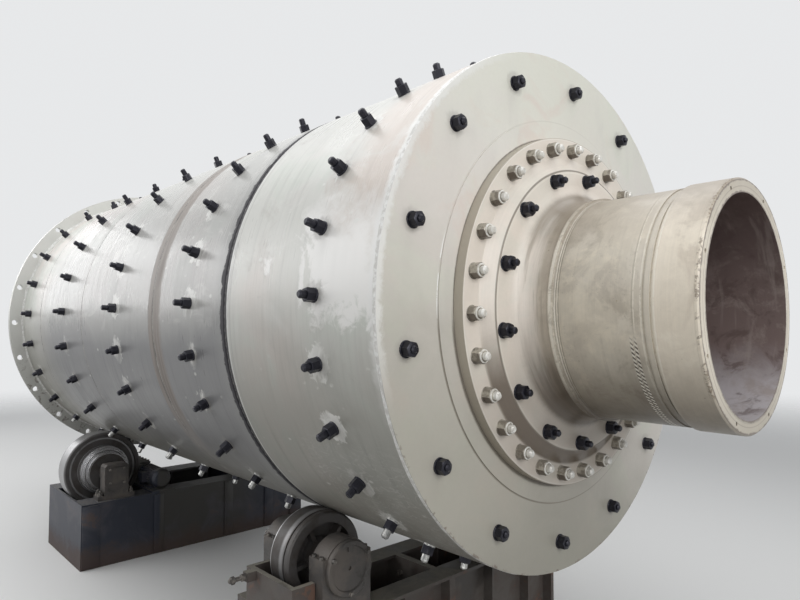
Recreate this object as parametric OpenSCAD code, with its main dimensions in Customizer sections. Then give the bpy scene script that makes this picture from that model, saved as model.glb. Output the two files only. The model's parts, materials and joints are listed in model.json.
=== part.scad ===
// Grinding mill drum on two sets of turning rolls, in millimetres.
// The drum axis runs along X, its feed end points to +X, and the floor is at Z = 0.

/* [Drum shell] */
// Inside diameter of the shell
shell_bore_d = 2100; // [1900:10:2200]
// Plate thickness of the shell
shell_t = 25; // [18:1:32]
// Length of the first shell course, next to the feed head
course_1_l = 945; // [900:5:1000]
// Length of the second shell course
course_2_l = 777; // [700:1:850]
// Length of the third shell course, in the middle
course_3_l = 1195; // [1100:5:1300]
// Length of the fourth shell course
course_4_l = 1024; // [950:1:1100]
// Length of the last shell course, next to the discharge head
course_5_l = 559; // [500:1:620]
// Depth of the open weld groove between the first two courses
open_groove = 10; // [4:1:14]
// Depth of the filled weld grooves between the other courses
closed_groove = 3; // [1:1:8]

/* [Heads] */
// Thickness of both head plates
head_t = 45; // [30:1:60]
// Diameter of the machined seat on a head
seat_d = 1592; // [1500:2:1700]
// Height of the machined seat above the head plate
seat_h = 4; // [2:1:8]
// Width of the gear rim beyond the shell at the discharge end
gear_rim_w = 99; // [85:1:130]
// Number of bolt holes in the gear rim
gear_hole_n = 24; // [12:2:32]
// Diameter of a bolt hole in the gear rim
gear_hole_d = 42; // [30:1:50]
// Distance from the rim's edge to the centre of its holes
gear_hole_inset = 38; // [32:1:45]
// Angle of the first gear rim hole above the horizontal, in degrees
gear_hole_phase = 13.5; // [0:0.5:15]

/* [Trunnions] */
// Diameter of the bore through a trunnion
trunnion_bore_d = 780; // [700:5:800]
// Length that a trunnion stands out from its head
trunnion_l = 721; // [680:1:800]
// Diameter of the trunnion flange
flange_d = 1440; // [1390:5:1500]
// Thickness of the trunnion flange
flange_t = 40; // [35:1:60]
// Diameter at the foot of the raised boss
boss_foot_d = 1268; // [1230:2:1290]
// Diameter at the top of the raised boss
boss_top_d = 1160; // [1100:2:1200]
// Height of the raised boss above the flange
boss_h = 34; // [20:1:50]
// Radius of the fillet between the boss and the neck
neck_fillet = 80; // [50:1:85]
// Diameter of the neck behind the thrust shoulder
neck_d = 880; // [868:2:882]
// Diameter of the thrust shoulder
shoulder_d = 888; // [884:1:902]
// Distance from the head to the thrust shoulder's face
shoulder_x = 217; // [209:1:239]
// Width of the thrust shoulder
shoulder_w = 18; // [12:1:24]
// Diameter of the journal
journal_d = 866; // [862:1:870]
// Radius of the fillet between the shoulder and the journal
journal_fillet = 8; // [4:1:8]
// Diameter of the relieved part beyond the journal
relief_d = 860; // [856:1:861]
// Length of the relieved part beyond the journal
relief_l = 23; // [12:1:40]
// Diameter of the groove in front of the end collar
groove_d = 852; // [840:1:856]
// Width of the groove in front of the end collar
groove_w = 12; // [8:1:20]
// Diameter of the end collar
collar_d = 882; // [876:1:900]
// Length of the end collar
collar_l = 143; // [120:1:150]
// Chamfer on the end collar
collar_chamfer = 6; // [2:1:10]
// Diameter of the spigot that centres a trunnion in its head
spigot_d = 900; // [880:2:920]
// Number of tapped holes in a trunnion's end face
end_hole_n = 8; // [4:1:12]
// Diameter of a tapped hole in a trunnion's end face
end_hole_d = 14; // [10:1:18]
// Depth of a tapped hole in a trunnion's end face
end_hole_depth = 35; // [20:1:50]

/* [Rolls] */
// Height of the drum axis above the floor
axis_h = 1800; // [1780:1:1850]
// Angle of each roll from straight below the drum axis, in degrees
roll_angle = 30; // [28:0.5:32]
// Running gap between a roll and the shell
roll_gap = 0.3; // [0.2:0.1:1]
// Width of a roll's tread
tread_w = 150; // [120:1:160]
// Running clearance between an axle and its block, on the radius
axle_clearance = 0.05; // [0.02:0.01:0.1]
// Radial thickness of the collars that hold a roll between its blocks
axle_collar_t = 12; // [6:1:16]

/* [Idler rolls] */
// Distance from the feed head to the middle of the idler rolls
idler_inset = 880; // [860:5:900]
// Diameter of an idler roll
idler_d = 400; // [390:1:410]
// Diameter of the idler axles
idler_axle_d = 100; // [80:1:110]
// Radial thickness of an idler roll's rim
idler_rim_t = 48; // [35:1:55]
// Thickness of the web between rim and hub
idler_web_t = 28; // [18:1:36]
// Wall of an idler roll's hub round the axle
idler_hub_t = 32; // [24:1:38]
// Length of the hub beyond the tread on each side
idler_hub_l = 15; // [8:1:20]
// Number of ribs on each side of an idler roll
idler_rib_n = 5; // [3:1:8]
// Thickness of a rib
idler_rib_t = 18; // [10:1:24]
// Angle of the first rib, in degrees
idler_rib_phase = 61; // [0:1:72]
// Distance of a rib from the rim's face
idler_rib_inset = 18; // [8:1:30]
// Width of the lip in front of the tread groove
idler_lip_w = 30; // [20:1:36]
// Width of the groove between the tread and the lip
idler_groove_w = 9; // [5:1:14]
// Depth of the groove between the tread and the lip
idler_groove_depth = 12; // [4:1:16]
// Width of the step behind the tread
idler_step_w = 12; // [6:1:16]
// Depth of the step behind the tread
idler_step_depth = 8; // [4:1:12]

/* [Driven rolls] */
// Distance from the discharge head to the middle of the driven rolls
drive_inset = 770; // [750:5:790]
// Diameter of a driven roll
drive_d = 560; // [540:1:570]
// Diameter of the driven axles
drive_axle_d = 120; // [100:1:130]
// Radial thickness of a driven roll's rim
drive_rim_t = 40; // [30:1:50]
// Depth of the dish between rim and hub
drive_dish = 18; // [8:1:30]
// Diameter of the lowest step of the hub
drive_flange_d = 360; // [350:2:380]
// Height of the lowest step above the tread's side
drive_flange_h = 35; // [20:1:40]
// Diameter of the middle step of the hub
drive_step_d = 330; // [310:2:340]
// Height of the middle step above the lowest one
drive_step_h = 30; // [15:1:32]
// Diameter of the hub's end
drive_hub_d = 290; // [250:2:300]
// Length of the hub's end beyond the middle step
drive_hub_h = 50; // [30:1:55]

/* [Idler stands] */
// Height of an idler axle above the beams
idler_axle_h = 195; // [180:1:210]
// Flange width of the idler stand's beams
beam_w = 130; // [120:1:140]
// Distance from the roll's middle to each beam's middle
beam_offset = 200; // [195:1:210]
// Flange thickness of the beams and girders
flange_plate_t = 16; // [10:1:22]
// Web thickness of the beams and girders
web_plate_t = 12; // [8:1:16]
// Thickness of the stiffeners across the beams and girders
stiffener_t = 12; // [8:1:16]
// Thickness of the plate that joins two frames below the drum
joint_plate_t = 20; // [12:1:25]
// Height of the tie between the two beams of a frame
tie_h = 180; // [120:5:220]
// Height of the tie's lower edge above the floor
tie_z = 60; // [40:5:100]
// Gap between an idler roll and the end plate beside it
roll_end_gap = 22; // [14:1:36]
// Thickness of the end plate and of its upstand
end_plate_t = 25; // [15:1:30]
// Height of the end plate's upstand above the beams
upstand_h = 150; // [100:1:180]
// Half the width of the space inside the upstand
upstand_half_w = 160; // [150:1:175]
// Gap between a bearing block and the upstand's returns
upstand_gap = 3; // [1:0.5:5]
// Width and height of the adjusting lug on the upstand
lug_w = 40; // [30:1:50]
// Length of the adjusting lug beyond the upstand
lug_l = 44; // [30:1:60]
// Distance from the roll's middle to the adjusting lug
lug_x = 120; // [100:1:140]

/* [Drive stand] */
// Height of a driven axle above the girders
drive_axle_h = 166; // [150:1:180]
// Flange width of the girders
girder_w = 180; // [160:1:190]
// Distance from the driven roll's middle to each girder's outer face
girder_offset = 415; // [410:1:420]
// Distance from a driven axle to the end plate beside it
drive_end_l = 252; // [246:1:270]

/* [Bearings] */
// Length of a bearing block along the axle
block_l = 100; // [80:1:110]
// Radius of an idler block's round top
idler_block_r = 122; // [119:1:125]
// Width of an idler block below its shoulders
idler_block_w = 260; // [250:2:270]
// Height of an idler block's shoulders above the axle
idler_shoulder_h = 55; // [40:1:70]
// Diameter of an idler bearing cover
idler_cover_d = 236; // [200:2:238]
// Thickness of a bearing cover
cover_t = 25; // [15:1:30]
// Width of the raised ring on an idler bearing cover
cover_ring_w = 22; // [14:1:28]
// Depth of the recess inside the ring
cover_recess = 8; // [4:1:12]
// Diameter of the centre hole in an idler bearing cover
cover_hole_d = 18; // [10:1:24]
// Width of the tab across the ring of an idler bearing cover
cover_tab_w = 26; // [16:1:34]
// Width of a drive block
drive_block_w = 170; // [156:2:190]
// Chamfer on the upper edges of a drive block
drive_block_chamfer = 16; // [6:1:24]
// Distance from a girder's inner edge to the drive block
drive_block_inset = 40; // [30:1:50]
// Length of a drive block's foot beyond its side
drive_foot_l = 45; // [30:1:55]
// Thickness of a drive block's foot
drive_foot_t = 30; // [20:1:40]
// Width of the square cover on a drive block
drive_cover_w = 128; // [124:2:140]
// Thickness of the square cover on a drive block
drive_cover_t = 10; // [6:1:14]

/* [Drive unit] */
// Distance of the motor's axis from the drum's middle plane
motor_y = 340; // [330:1:345]
// Radius of the motor's cowl
motor_r = 74; // [66:1:78]
// Length of the motor's body
motor_l = 300; // [260:5:320]
// Length of the cowl over the motor's fan
cowl_l = 70; // [50:1:90]
// Number of cooling fins round the motor
fin_n = 24; // [12:1:36]
// Height of a cooling fin
fin_h = 12; // [6:1:16]
// Thickness of a cooling fin
fin_t = 5; // [3:1:7]
// Width of the motor's foot
motor_foot_w = 130; // [110:2:150]
// Thickness of the motor's foot
motor_foot_t = 14; // [8:1:18]
// Width of the pedestal above the motor's foot
pedestal_w = 76; // [60:2:90]
// Length of the terminal box along the motor
box_l = 84; // [60:2:100]
// Height of the terminal box
box_h = 72; // [50:2:90]
// Distance that the terminal box stands out from the motor's core
box_out = 42; // [30:1:50]
// Radius of the lantern tube between motor and reducer
lantern_r = 42; // [34:1:48]
// Thickness of the bed plate under the motor
bed_t = 12; // [8:1:16]
// Width of the reducer and of the bed plate under it
reducer_w = 180; // [150:1:184]
// Height of the reducer
reducer_h = 128; // [120:1:135]
// Thickness of the reducer's flanges
reducer_flange_t = 14; // [8:1:18]
// Width of the reducer's flanges beyond its body
reducer_lip = 16; // [8:1:20]
// Length of the gear case along the axle
gear_case_l = 80; // [70:1:90]
// Radius of the gear case round the driven axle
gear_case_r = 112; // [100:1:116]
// Wall of the gear case round the reducer's shaft, beyond the reducer's half height
gear_case_rim = 8; // [4:1:12]
// Wall of the gear case behind the end of the driven axle
gear_case_wall = 25; // [15:1:30]

/* [Hidden] */

paint = [0.78, 0.78, 0.73];
primer = [0.86, 0.86, 0.82];
machined = [0.66, 0.65, 0.60];
rusty_steel = [0.36, 0.33, 0.27];
dark_iron = [0.27, 0.26, 0.25];
worn_steel = [0.42, 0.42, 0.41];
machine_blue = [0.20, 0.24, 0.28];

round_fn = 96;
small_fn = 32;
eps = 1;

course_l = [course_1_l, course_2_l, course_3_l, course_4_l, course_5_l];
course_n = len(course_l);
function total(list, count) = count <= 0 ? 0 : list[count - 1] + total(list, count - 1);
shell_l = total(course_l, course_n);
shell_r = shell_bore_d / 2 + shell_t;
head_x = shell_l / 2;
head_face_x = head_x + head_t;
gear_rim_r = shell_r + gear_rim_w;
gear_hole_r = gear_rim_r - gear_hole_inset;
fit_gap = 0.3;

// Height of a groove at the start and the end of a course, counted from the feed end.
function groove_at(seam) = seam == 0 || seam == course_n ? 0 : seam == 1 ? open_groove : closed_groove;

idler_r = idler_d / 2;
drive_r = drive_d / 2;
function roll_y(r) = (shell_r + r + roll_gap) * sin(roll_angle);
function roll_z(r) = axis_h - (shell_r + r + roll_gap) * cos(roll_angle);

idler_x = head_x - idler_inset;
idler_y = roll_y(idler_r);
idler_z = roll_z(idler_r);
drive_x = drive_inset - head_x;
drive_y = roll_y(drive_r);
drive_z = roll_z(drive_r);
beam_h = idler_z - idler_axle_h;
stand_end_y = idler_y + idler_r + roll_end_gap;
girder_h = drive_z - drive_axle_h;
girder_half_l = drive_y + drive_end_l;

edge = 8;
half_tread = tread_w / 2;
frame_half_w = beam_offset + beam_w / 2;
idler_block_x = beam_offset - beam_w / 2;
idler_hub_half = half_tread + idler_hub_l;
idler_bore_r = idler_axle_d / 2 + axle_clearance;
drive_block_x = girder_offset - girder_w + drive_block_inset;
drive_hub_half = half_tread + drive_flange_h + drive_step_h + drive_hub_h;
drive_bore_r = drive_axle_d / 2 + axle_clearance;
axle_end_gap = 3;
collar_gap = 5;
case_gap = 5;
case_inset = 20;
case_x = girder_offset - case_inset;
bed_z = girder_h + bed_t;
motor_rise = 14;
motor_z = bed_z + reducer_h / 2 + motor_rise;
motor_end_gap = 30;
wheel_gap = 10;

// Turns a profile of [radius, distance along X] points about the X axis.
module about_x(points) {
    rotate([0, 90, 0])
        rotate_extrude($fn = round_fn)
            polygon(points);
}

// A straight pin along X, from one distance to another.
module pin_x(x0, x1, r, fn = round_fn) {
    translate([x0, 0, 0])
        rotate([0, 90, 0])
            cylinder(h = x1 - x0, r = r, $fn = fn);
}

// A bar along X whose cross-section is drawn with Y to the right and Z upwards.
module bar_x(x0, x1) {
    translate([x0, 0, 0])
        rotate([90, 0, 90])
            linear_extrude(x1 - x0)
                children();
}

// Pulls what is drawn about the X axis up to the drum axis.
module on_drum_axis() {
    translate([0, 0, axis_h])
        children();
}

// Draws for the left side, at -Y, or mirrored for the right side.
module on_side(left) {
    mirror([0, left ? 1 : 0, 0])
        children();
}

// Draws for the feed end, or mirrored for the discharge end.
module on_end(feed) {
    mirror([feed ? 0 : 1, 0, 0])
        children();
}

// Moves what is drawn about an idler axle to its place.
module at_idler(left) {
    translate([idler_x, 0, idler_z])
        on_side(left)
            translate([0, idler_y, 0])
                children();
}

// Moves what is drawn about a driven axle to its place.
module at_drive(left) {
    translate([drive_x, 0, drive_z])
        on_side(left)
            translate([0, drive_y, 0])
                children();
}

module shell_course(index) {
    x1 = head_x - total(course_l, index);
    x0 = x1 - course_l[index];
    g1 = groove_at(index);
    g0 = groove_at(index + 1);
    color(paint)
        on_drum_axis()
            about_x([
                [shell_bore_d / 2, x0], [shell_r - g0, x0], [shell_r, x0 + g0],
                [shell_r, x1 - g1], [shell_r - g1, x1], [shell_bore_d / 2, x1]
            ]);
}

// A head plate with its machined seat, drawn for the feed end.
module head_plate(rim_r) {
    difference() {
        about_x([
            [spigot_d / 2 + fit_gap, head_x], [rim_r, head_x], [rim_r, head_face_x],
            [seat_d / 2, head_face_x], [seat_d / 2, head_face_x + seat_h],
            [spigot_d / 2 + fit_gap, head_face_x + seat_h]
        ]);
        children();
    }
}

module feed_head() {
    color(primer)
        on_drum_axis()
            head_plate(shell_r);
}

module discharge_head() {
    color(primer)
        on_drum_axis()
            on_end(false)
                head_plate(gear_rim_r)
                    for (i = [0 : gear_hole_n - 1])
                        rotate([-gear_hole_phase - i * 360 / gear_hole_n, 0, 0])
                            translate([0, -gear_hole_r, 0])
                                pin_x(head_x - eps, head_face_x + eps, gear_hole_d / 2, small_fn);
}

// A hollow trunnion with its flange, drawn for the feed end.
module trunnion() {
    bore = trunnion_bore_d / 2;
    x0 = head_face_x + seat_h;
    flange_x = x0 + flange_t;
    boss_x = flange_x + boss_h;
    shoulder_face = head_face_x + shoulder_x;
    end_x = head_face_x + trunnion_l;
    collar_x = end_x - collar_l;
    groove_x = collar_x - groove_w;
    relief_x = groove_x - relief_l;
    neck_r = neck_d / 2;
    journal_r = journal_d / 2;
    difference() {
        rotate([0, 90, 0])
            rotate_extrude($fn = round_fn)
                difference() {
                    polygon([
                        [bore, head_x], [spigot_d / 2, head_x], [spigot_d / 2, x0],
                        [flange_d / 2, x0], [flange_d / 2, flange_x],
                        [boss_foot_d / 2, flange_x], [boss_top_d / 2, boss_x],
                        [neck_r + neck_fillet, boss_x], [neck_r + neck_fillet, boss_x + neck_fillet],
                        [neck_r, boss_x + neck_fillet],
                        [neck_r, shoulder_face - shoulder_w - neck_step()],
                        [shoulder_d / 2, shoulder_face - shoulder_w], [shoulder_d / 2, shoulder_face],
                        [journal_r + journal_fillet, shoulder_face],
                        [journal_r + journal_fillet, shoulder_face + journal_fillet],
                        [journal_r, shoulder_face + journal_fillet],
                        [journal_r, relief_x], [relief_d / 2, relief_x],
                        [relief_d / 2, groove_x], [groove_d / 2, groove_x],
                        [groove_d / 2, collar_x], [collar_d / 2, collar_x],
                        [collar_d / 2, end_x - collar_chamfer],
                        [collar_d / 2 - collar_chamfer, end_x], [bore, end_x]
                    ]);
                    translate([neck_r + neck_fillet, boss_x + neck_fillet])
                        circle(r = neck_fillet, $fn = round_fn);
                    translate([journal_r + journal_fillet, shoulder_face + journal_fillet])
                        circle(r = journal_fillet, $fn = round_fn);
                }
        for (i = [0 : end_hole_n - 1])
            rotate([(i + 0.5) * 360 / end_hole_n, 0, 0])
                translate([0, -(bore + collar_d / 2) / 2, 0])
                    pin_x(end_x - end_hole_depth, end_x + eps, end_hole_d / 2, small_fn);
    }
}

// Length of the slope up to the thrust shoulder.
function neck_step() = (shoulder_d - neck_d) / 2;

module feed_trunnion() {
    color(machined)
        on_drum_axis()
            trunnion();
}

module discharge_trunnion() {
    color(machined)
        on_drum_axis()
            on_end(false)
                trunnion();
}

// An upright beam of I section along Y.
module i_beam(y0, y1) {
    translate([-beam_w / 2, y0, 0])
        cube([beam_w, y1 - y0, flange_plate_t]);
    translate([-beam_w / 2, y0, beam_h - flange_plate_t])
        cube([beam_w, y1 - y0, flange_plate_t]);
    translate([-web_plate_t / 2, y0, 0])
        cube([web_plate_t, y1 - y0, beam_h]);
}

// A stiffener across an I beam, from flange to flange.
module beam_stiffener(y) {
    translate([-beam_w / 2, y - stiffener_t / 2, 0])
        cube([beam_w, stiffener_t, beam_h]);
}

module idler_frame(left) {
    color(rusty_steel)
        translate([idler_x, 0, 0])
            on_side(left)
                union() {
                    for (side = [-1, 1])
                        translate([side * beam_offset, 0, 0]) {
                            i_beam(joint_plate_t, stand_end_y);
                            beam_stiffener(idler_y);
                            beam_stiffener(idler_y / 2);
                        }
                    translate([-frame_half_w, 0, 0])
                        cube([2 * frame_half_w, joint_plate_t, beam_h]);
                    translate([-beam_offset, (idler_y - stiffener_t) / 2, tie_z])
                        cube([2 * beam_offset, stiffener_t, tie_h]);
                }
}

// An end plate with an upstand that goes round three sides of the roll.
module idler_end_plate(left) {
    outer_x = upstand_half_w + end_plate_t;
    return_y = idler_y + idler_block_w / 2 + upstand_gap;
    color(rusty_steel)
        translate([idler_x, 0, 0])
            on_side(left)
                union() {
                    translate([-frame_half_w, stand_end_y, 0])
                        cube([2 * frame_half_w, end_plate_t, beam_h]);
                    translate([-outer_x, stand_end_y, beam_h - eps])
                        cube([2 * outer_x, end_plate_t, upstand_h + eps]);
                    for (side = [-1, 1])
                        translate([side * (outer_x - end_plate_t / 2) - end_plate_t / 2, return_y, beam_h])
                            cube([end_plate_t, stand_end_y - return_y + eps, upstand_h]);
                    translate([-lug_x - lug_w / 2, stand_end_y + end_plate_t - eps,
                               beam_h + upstand_h - lug_w])
                        cube([lug_w, lug_l + eps, lug_w]);
                }
}

// A bearing block with a round top between two shoulders.
module idler_block(left, front) {
    color(dark_iron)
        at_idler(left)
            on_end(front)
                translate([idler_block_x, 0, 0])
                    difference() {
                        union() {
                            pin_x(0, block_l, idler_block_r);
                            translate([0, -idler_block_w / 2, -idler_axle_h])
                                cube([block_l, idler_block_w, idler_axle_h + idler_shoulder_h]);
                        }
                        pin_x(-eps, block_l + eps, idler_bore_r);
                    }
}

// A bearing cover: a raised ring with a tab across it, round a recess with a centre hole.
module idler_cover(left, front) {
    r = idler_cover_d / 2;
    bevel = 4;
    floor_x = cover_t - cover_recess;
    inner_r = r - cover_ring_w;
    color(dark_iron)
        at_idler(left)
            on_end(front)
                translate([idler_block_x + block_l, 0, 0])
                    difference() {
                        union() {
                            about_x([
                                [0, 0], [r, 0], [r, cover_t - bevel], [r - bevel, cover_t],
                                [inner_r, cover_t], [inner_r - bevel, floor_x], [0, floor_x]
                            ]);
                            translate([0, -cover_tab_w / 2, inner_r - cover_ring_w])
                                cube([cover_t, cover_tab_w, 2 * cover_ring_w - bevel]);
                        }
                        pin_x(floor_x / 2, cover_t + eps, cover_hole_d / 2, small_fn);
                    }
}

// An idler roll: a step and a grooved tread with a lip in front, on a ribbed web.
module idler_wheel(left) {
    rim_r = idler_r - idler_rim_t;
    hub_r = idler_axle_d / 2 + idler_hub_t;
    web_half = idler_web_t / 2;
    rib_half = half_tread - idler_rib_inset;
    step_r = idler_r - idler_step_depth;
    step_x = idler_step_w - half_tread;
    groove_r = idler_r - idler_groove_depth;
    lip_x = half_tread - idler_lip_w;
    groove_x = lip_x - idler_groove_w;
    slope = 2;
    color(worn_steel)
        at_idler(left)
            difference() {
                union() {
                    about_x([
                        [idler_bore_r, -idler_hub_half], [hub_r, -idler_hub_half],
                        [hub_r, -web_half], [rim_r, -web_half], [rim_r, -half_tread],
                        [step_r, -half_tread], [step_r, step_x], [idler_r, step_x],
                        [idler_r, groove_x], [groove_r, groove_x + slope],
                        [groove_r, lip_x - slope], [idler_r, lip_x],
                        [idler_r, half_tread - edge], [idler_r - edge, half_tread],
                        [rim_r, half_tread], [rim_r, web_half], [hub_r, web_half],
                        [hub_r, idler_hub_half], [idler_bore_r, idler_hub_half]
                    ]);
                    for (i = [0 : idler_rib_n - 1])
                        rotate([idler_rib_phase + i * 360 / idler_rib_n, 0, 0])
                            translate([-rib_half, hub_r - eps, -idler_rib_t / 2])
                                cube([2 * rib_half, rim_r - hub_r + 2 * eps, idler_rib_t]);
                }
                pin_x(-idler_hub_half - eps, idler_hub_half + eps, idler_bore_r);
            }
}

// An axle with collars that hold the roll between the blocks.
module roll_axle(r, hub_half, block_x, rear_end, front_end) {
    collar_r = r + axle_collar_t;
    collar_x = block_x - collar_gap;
    about_x([
        [0, -rear_end], [r, -rear_end], [r, -collar_x],
        [collar_r, -collar_x], [collar_r, -hub_half],
        [r, -hub_half], [r, hub_half],
        [collar_r, hub_half], [collar_r, collar_x],
        [r, collar_x], [r, front_end], [0, front_end]
    ]);
}

module idler_axle(left) {
    end_x = idler_block_x + block_l - axle_end_gap;
    color(worn_steel)
        at_idler(left)
            roll_axle(idler_axle_d / 2, idler_hub_half, idler_block_x, end_x, end_x);
}

// A girder of C section along Y, open towards the rolls, drawn for the front.
module girder() {
    inner_x = girder_offset - girder_w;
    half = girder_half_l - flange_plate_t;
    for (z = [0, girder_h - flange_plate_t])
        translate([inner_x, -half, z])
            cube([girder_w, 2 * half, flange_plate_t]);
    translate([girder_offset - web_plate_t, -half, 0])
        cube([web_plate_t, 2 * half, girder_h]);
    for (y = [-drive_y, -motor_y, 0, motor_y, drive_y])
        translate([inner_x, y - stiffener_t / 2, 0])
            cube([girder_w, stiffener_t, girder_h]);
}

module drive_girder(front) {
    color(machine_blue)
        translate([drive_x, 0, 0])
            on_end(front)
                girder();
}

module drive_end_plate(left) {
    color(machine_blue)
        translate([drive_x, 0, 0])
            on_side(left)
                translate([-girder_offset, girder_half_l - flange_plate_t, 0])
                    cube([2 * girder_offset, flange_plate_t, girder_h]);
}

// A square bearing block on its foot; all but the one at the gear case have a square cover.
module drive_block(left, front) {
    half = drive_block_w / 2;
    foot = half + drive_foot_l;
    foot_z = drive_foot_t - drive_axle_h;
    cap = half - drive_block_chamfer;
    covered = front || !left;
    color(dark_iron)
        at_drive(left)
            on_end(front)
                translate([drive_block_x, 0, 0])
                    union() {
                        difference() {
                            bar_x(0, block_l)
                                polygon([
                                    [-foot, -drive_axle_h], [foot, -drive_axle_h], [foot, foot_z],
                                    [half, foot_z], [half, cap], [cap, half], [-cap, half],
                                    [-half, cap], [-half, foot_z], [-foot, foot_z]
                                ]);
                            pin_x(-eps, block_l + eps, drive_bore_r);
                        }
                        if (covered)
                            translate([block_l, -drive_cover_w / 2, -drive_cover_w / 2])
                                cube([drive_cover_t, drive_cover_w, drive_cover_w]);
                    }
}

// A driven roll: plain tread, dished face and a hub in three steps.
module drive_wheel(left) {
    rim_r = drive_r - drive_rim_t;
    dish_x = half_tread - drive_dish;
    slope = 6;
    flange_r = drive_flange_d / 2;
    flange_x = half_tread + drive_flange_h;
    step_r = drive_step_d / 2;
    step_x = flange_x + drive_step_h;
    hub_r = drive_hub_d / 2;
    color(worn_steel)
        at_drive(left)
            about_x([
                [drive_bore_r, -drive_hub_half], [hub_r, -drive_hub_half], [hub_r, -step_x],
                [step_r, -step_x], [step_r, -flange_x], [flange_r, -flange_x],
                [flange_r, -dish_x], [rim_r, -dish_x], [rim_r + slope, -half_tread],
                [drive_r - edge, -half_tread], [drive_r, edge - half_tread],
                [drive_r, half_tread - edge], [drive_r - edge, half_tread],
                [rim_r + slope, half_tread], [rim_r, dish_x], [flange_r, dish_x],
                [flange_r, flange_x], [step_r, flange_x], [step_r, step_x],
                [hub_r, step_x], [hub_r, drive_hub_half], [drive_bore_r, drive_hub_half]
            ]);
}

module drive_axle(left) {
    front_end = drive_block_x + block_l - axle_end_gap;
    rear_end = left ? case_x + gear_case_l - gear_case_wall - case_gap : front_end;
    color(worn_steel)
        at_drive(left)
            roll_axle(drive_axle_d / 2, drive_hub_half, drive_block_x, rear_end, front_end);
}

module drive_bed_plate() {
    color(machine_blue)
        translate([drive_x - case_x, -motor_y - reducer_w / 2, girder_h])
            cube([case_x + girder_offset, reducer_w, bed_t]);
}

// The motor in front of the driven roll, with a lantern tube that passes the roll.
module drive_motor() {
    front_x = girder_offset - motor_end_gap;
    back_x = front_x - motor_l;
    cowl_x = front_x - cowl_l;
    plate_x = back_x + bed_t;
    core_r = motor_r - fin_h;
    dome = 18;
    foot_l = cowl_x - plate_x - bed_t;
    foot_x = plate_x + bed_t / 2;
    low_z = bed_z - motor_z;
    color(machine_blue)
        translate([drive_x, -motor_y, motor_z])
            union() {
                about_x([
                    [0, -half_tread - wheel_gap], [lantern_r, -half_tread - wheel_gap],
                    [lantern_r, back_x], [motor_r, back_x], [motor_r, plate_x],
                    [core_r, plate_x], [core_r, cowl_x], [motor_r, cowl_x],
                    [motor_r, front_x - dome], [motor_r - dome, front_x], [0, front_x]
                ]);
                for (i = [0 : fin_n - 1])
                    rotate([(i + 0.5) * 360 / fin_n, 0, 0])
                        translate([plate_x - eps, -fin_t / 2, core_r - eps])
                            cube([cowl_x - plate_x + 2 * eps, fin_t, fin_h + eps]);
                translate([foot_x, -motor_foot_w / 2, low_z])
                    cube([foot_l, motor_foot_w, motor_foot_t]);
                translate([foot_x, -pedestal_w / 2, low_z])
                    cube([foot_l, pedestal_w, -low_z - core_r / 2]);
                translate([(plate_x + cowl_x - box_l) / 2, -core_r - box_out, -box_h / 2])
                    cube([box_l, core_r / 2 + box_out, box_h]);
            }
}

// The reducer, a ribless body between two flanges.
module drive_reducer() {
    half = reducer_w / 2;
    body = half - reducer_lip;
    low = reducer_flange_t;
    high = reducer_h - reducer_flange_t;
    color(machine_blue)
        translate([drive_x, -motor_y, bed_z])
            bar_x(-case_x, -half_tread - wheel_gap)
                polygon([
                    [-half, 0], [half, 0], [half, low], [body, low], [body, high],
                    [half, high], [half, reducer_h], [-half, reducer_h], [-half, high],
                    [-body, high], [-body, low], [-half, low]
                ]);
}

// The closed case between the reducer and the driven axle, behind the rear girder.
module drive_gear_case() {
    small_r = reducer_h / 2 + gear_case_rim;
    low_z = bed_z + reducer_h / 2;
    color(machine_blue)
        translate([drive_x - case_x - gear_case_l, 0, 0])
            difference() {
                hull() {
                    translate([0, -drive_y, drive_z])
                        pin_x(0, gear_case_l, gear_case_r, small_fn);
                    translate([0, -motor_y, low_z])
                        pin_x(0, gear_case_l, small_r, small_fn);
                }
                translate([0, -drive_y, drive_z])
                    pin_x(gear_case_wall, gear_case_l + eps, drive_axle_d / 2 + case_gap);
            }
}

shell_course(0);  // shell_course_1
shell_course(1);  // shell_course_2
shell_course(2);  // shell_course_3
shell_course(3);  // shell_course_4
shell_course(4);  // shell_course_5
feed_head();
discharge_head();
feed_trunnion();
discharge_trunnion();
idler_frame(true);  // idler_frame_left
idler_frame(false);  // idler_frame_right
idler_end_plate(true);  // idler_end_plate_left
idler_end_plate(false);  // idler_end_plate_right
idler_block(true, true);  // idler_block_left_front
idler_block(true, false);  // idler_block_left_rear
idler_block(false, true);  // idler_block_right_front
idler_block(false, false);  // idler_block_right_rear
idler_cover(true, true);  // idler_cover_left_front
idler_cover(true, false);  // idler_cover_left_rear
idler_cover(false, true);  // idler_cover_right_front
idler_cover(false, false);  // idler_cover_right_rear
idler_wheel(true);  // idler_wheel_left
idler_wheel(false);  // idler_wheel_right
idler_axle(true);  // idler_axle_left
idler_axle(false);  // idler_axle_right
drive_girder(true);  // drive_girder_front
drive_girder(false);  // drive_girder_rear
drive_end_plate(true);  // drive_end_plate_left
drive_end_plate(false);  // drive_end_plate_right
drive_block(true, true);  // drive_block_left_front
drive_block(true, false);  // drive_block_left_rear
drive_block(false, true);  // drive_block_right_front
drive_block(false, false);  // drive_block_right_rear
drive_wheel(true);  // drive_wheel_left
drive_wheel(false);  // drive_wheel_right
drive_axle(true);  // drive_axle_left
drive_axle(false);  // drive_axle_right
drive_bed_plate();
drive_motor();
drive_reducer();
drive_gear_case();
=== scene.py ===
"""Finish, fasteners and weld seams of a grinding mill drum on its turning rolls."""

import json
import math
import random

import bmesh
import bpy
from bpy.props import FloatProperty, FloatVectorProperty, IntProperty, PointerProperty
from mathutils import Matrix, Vector


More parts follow.
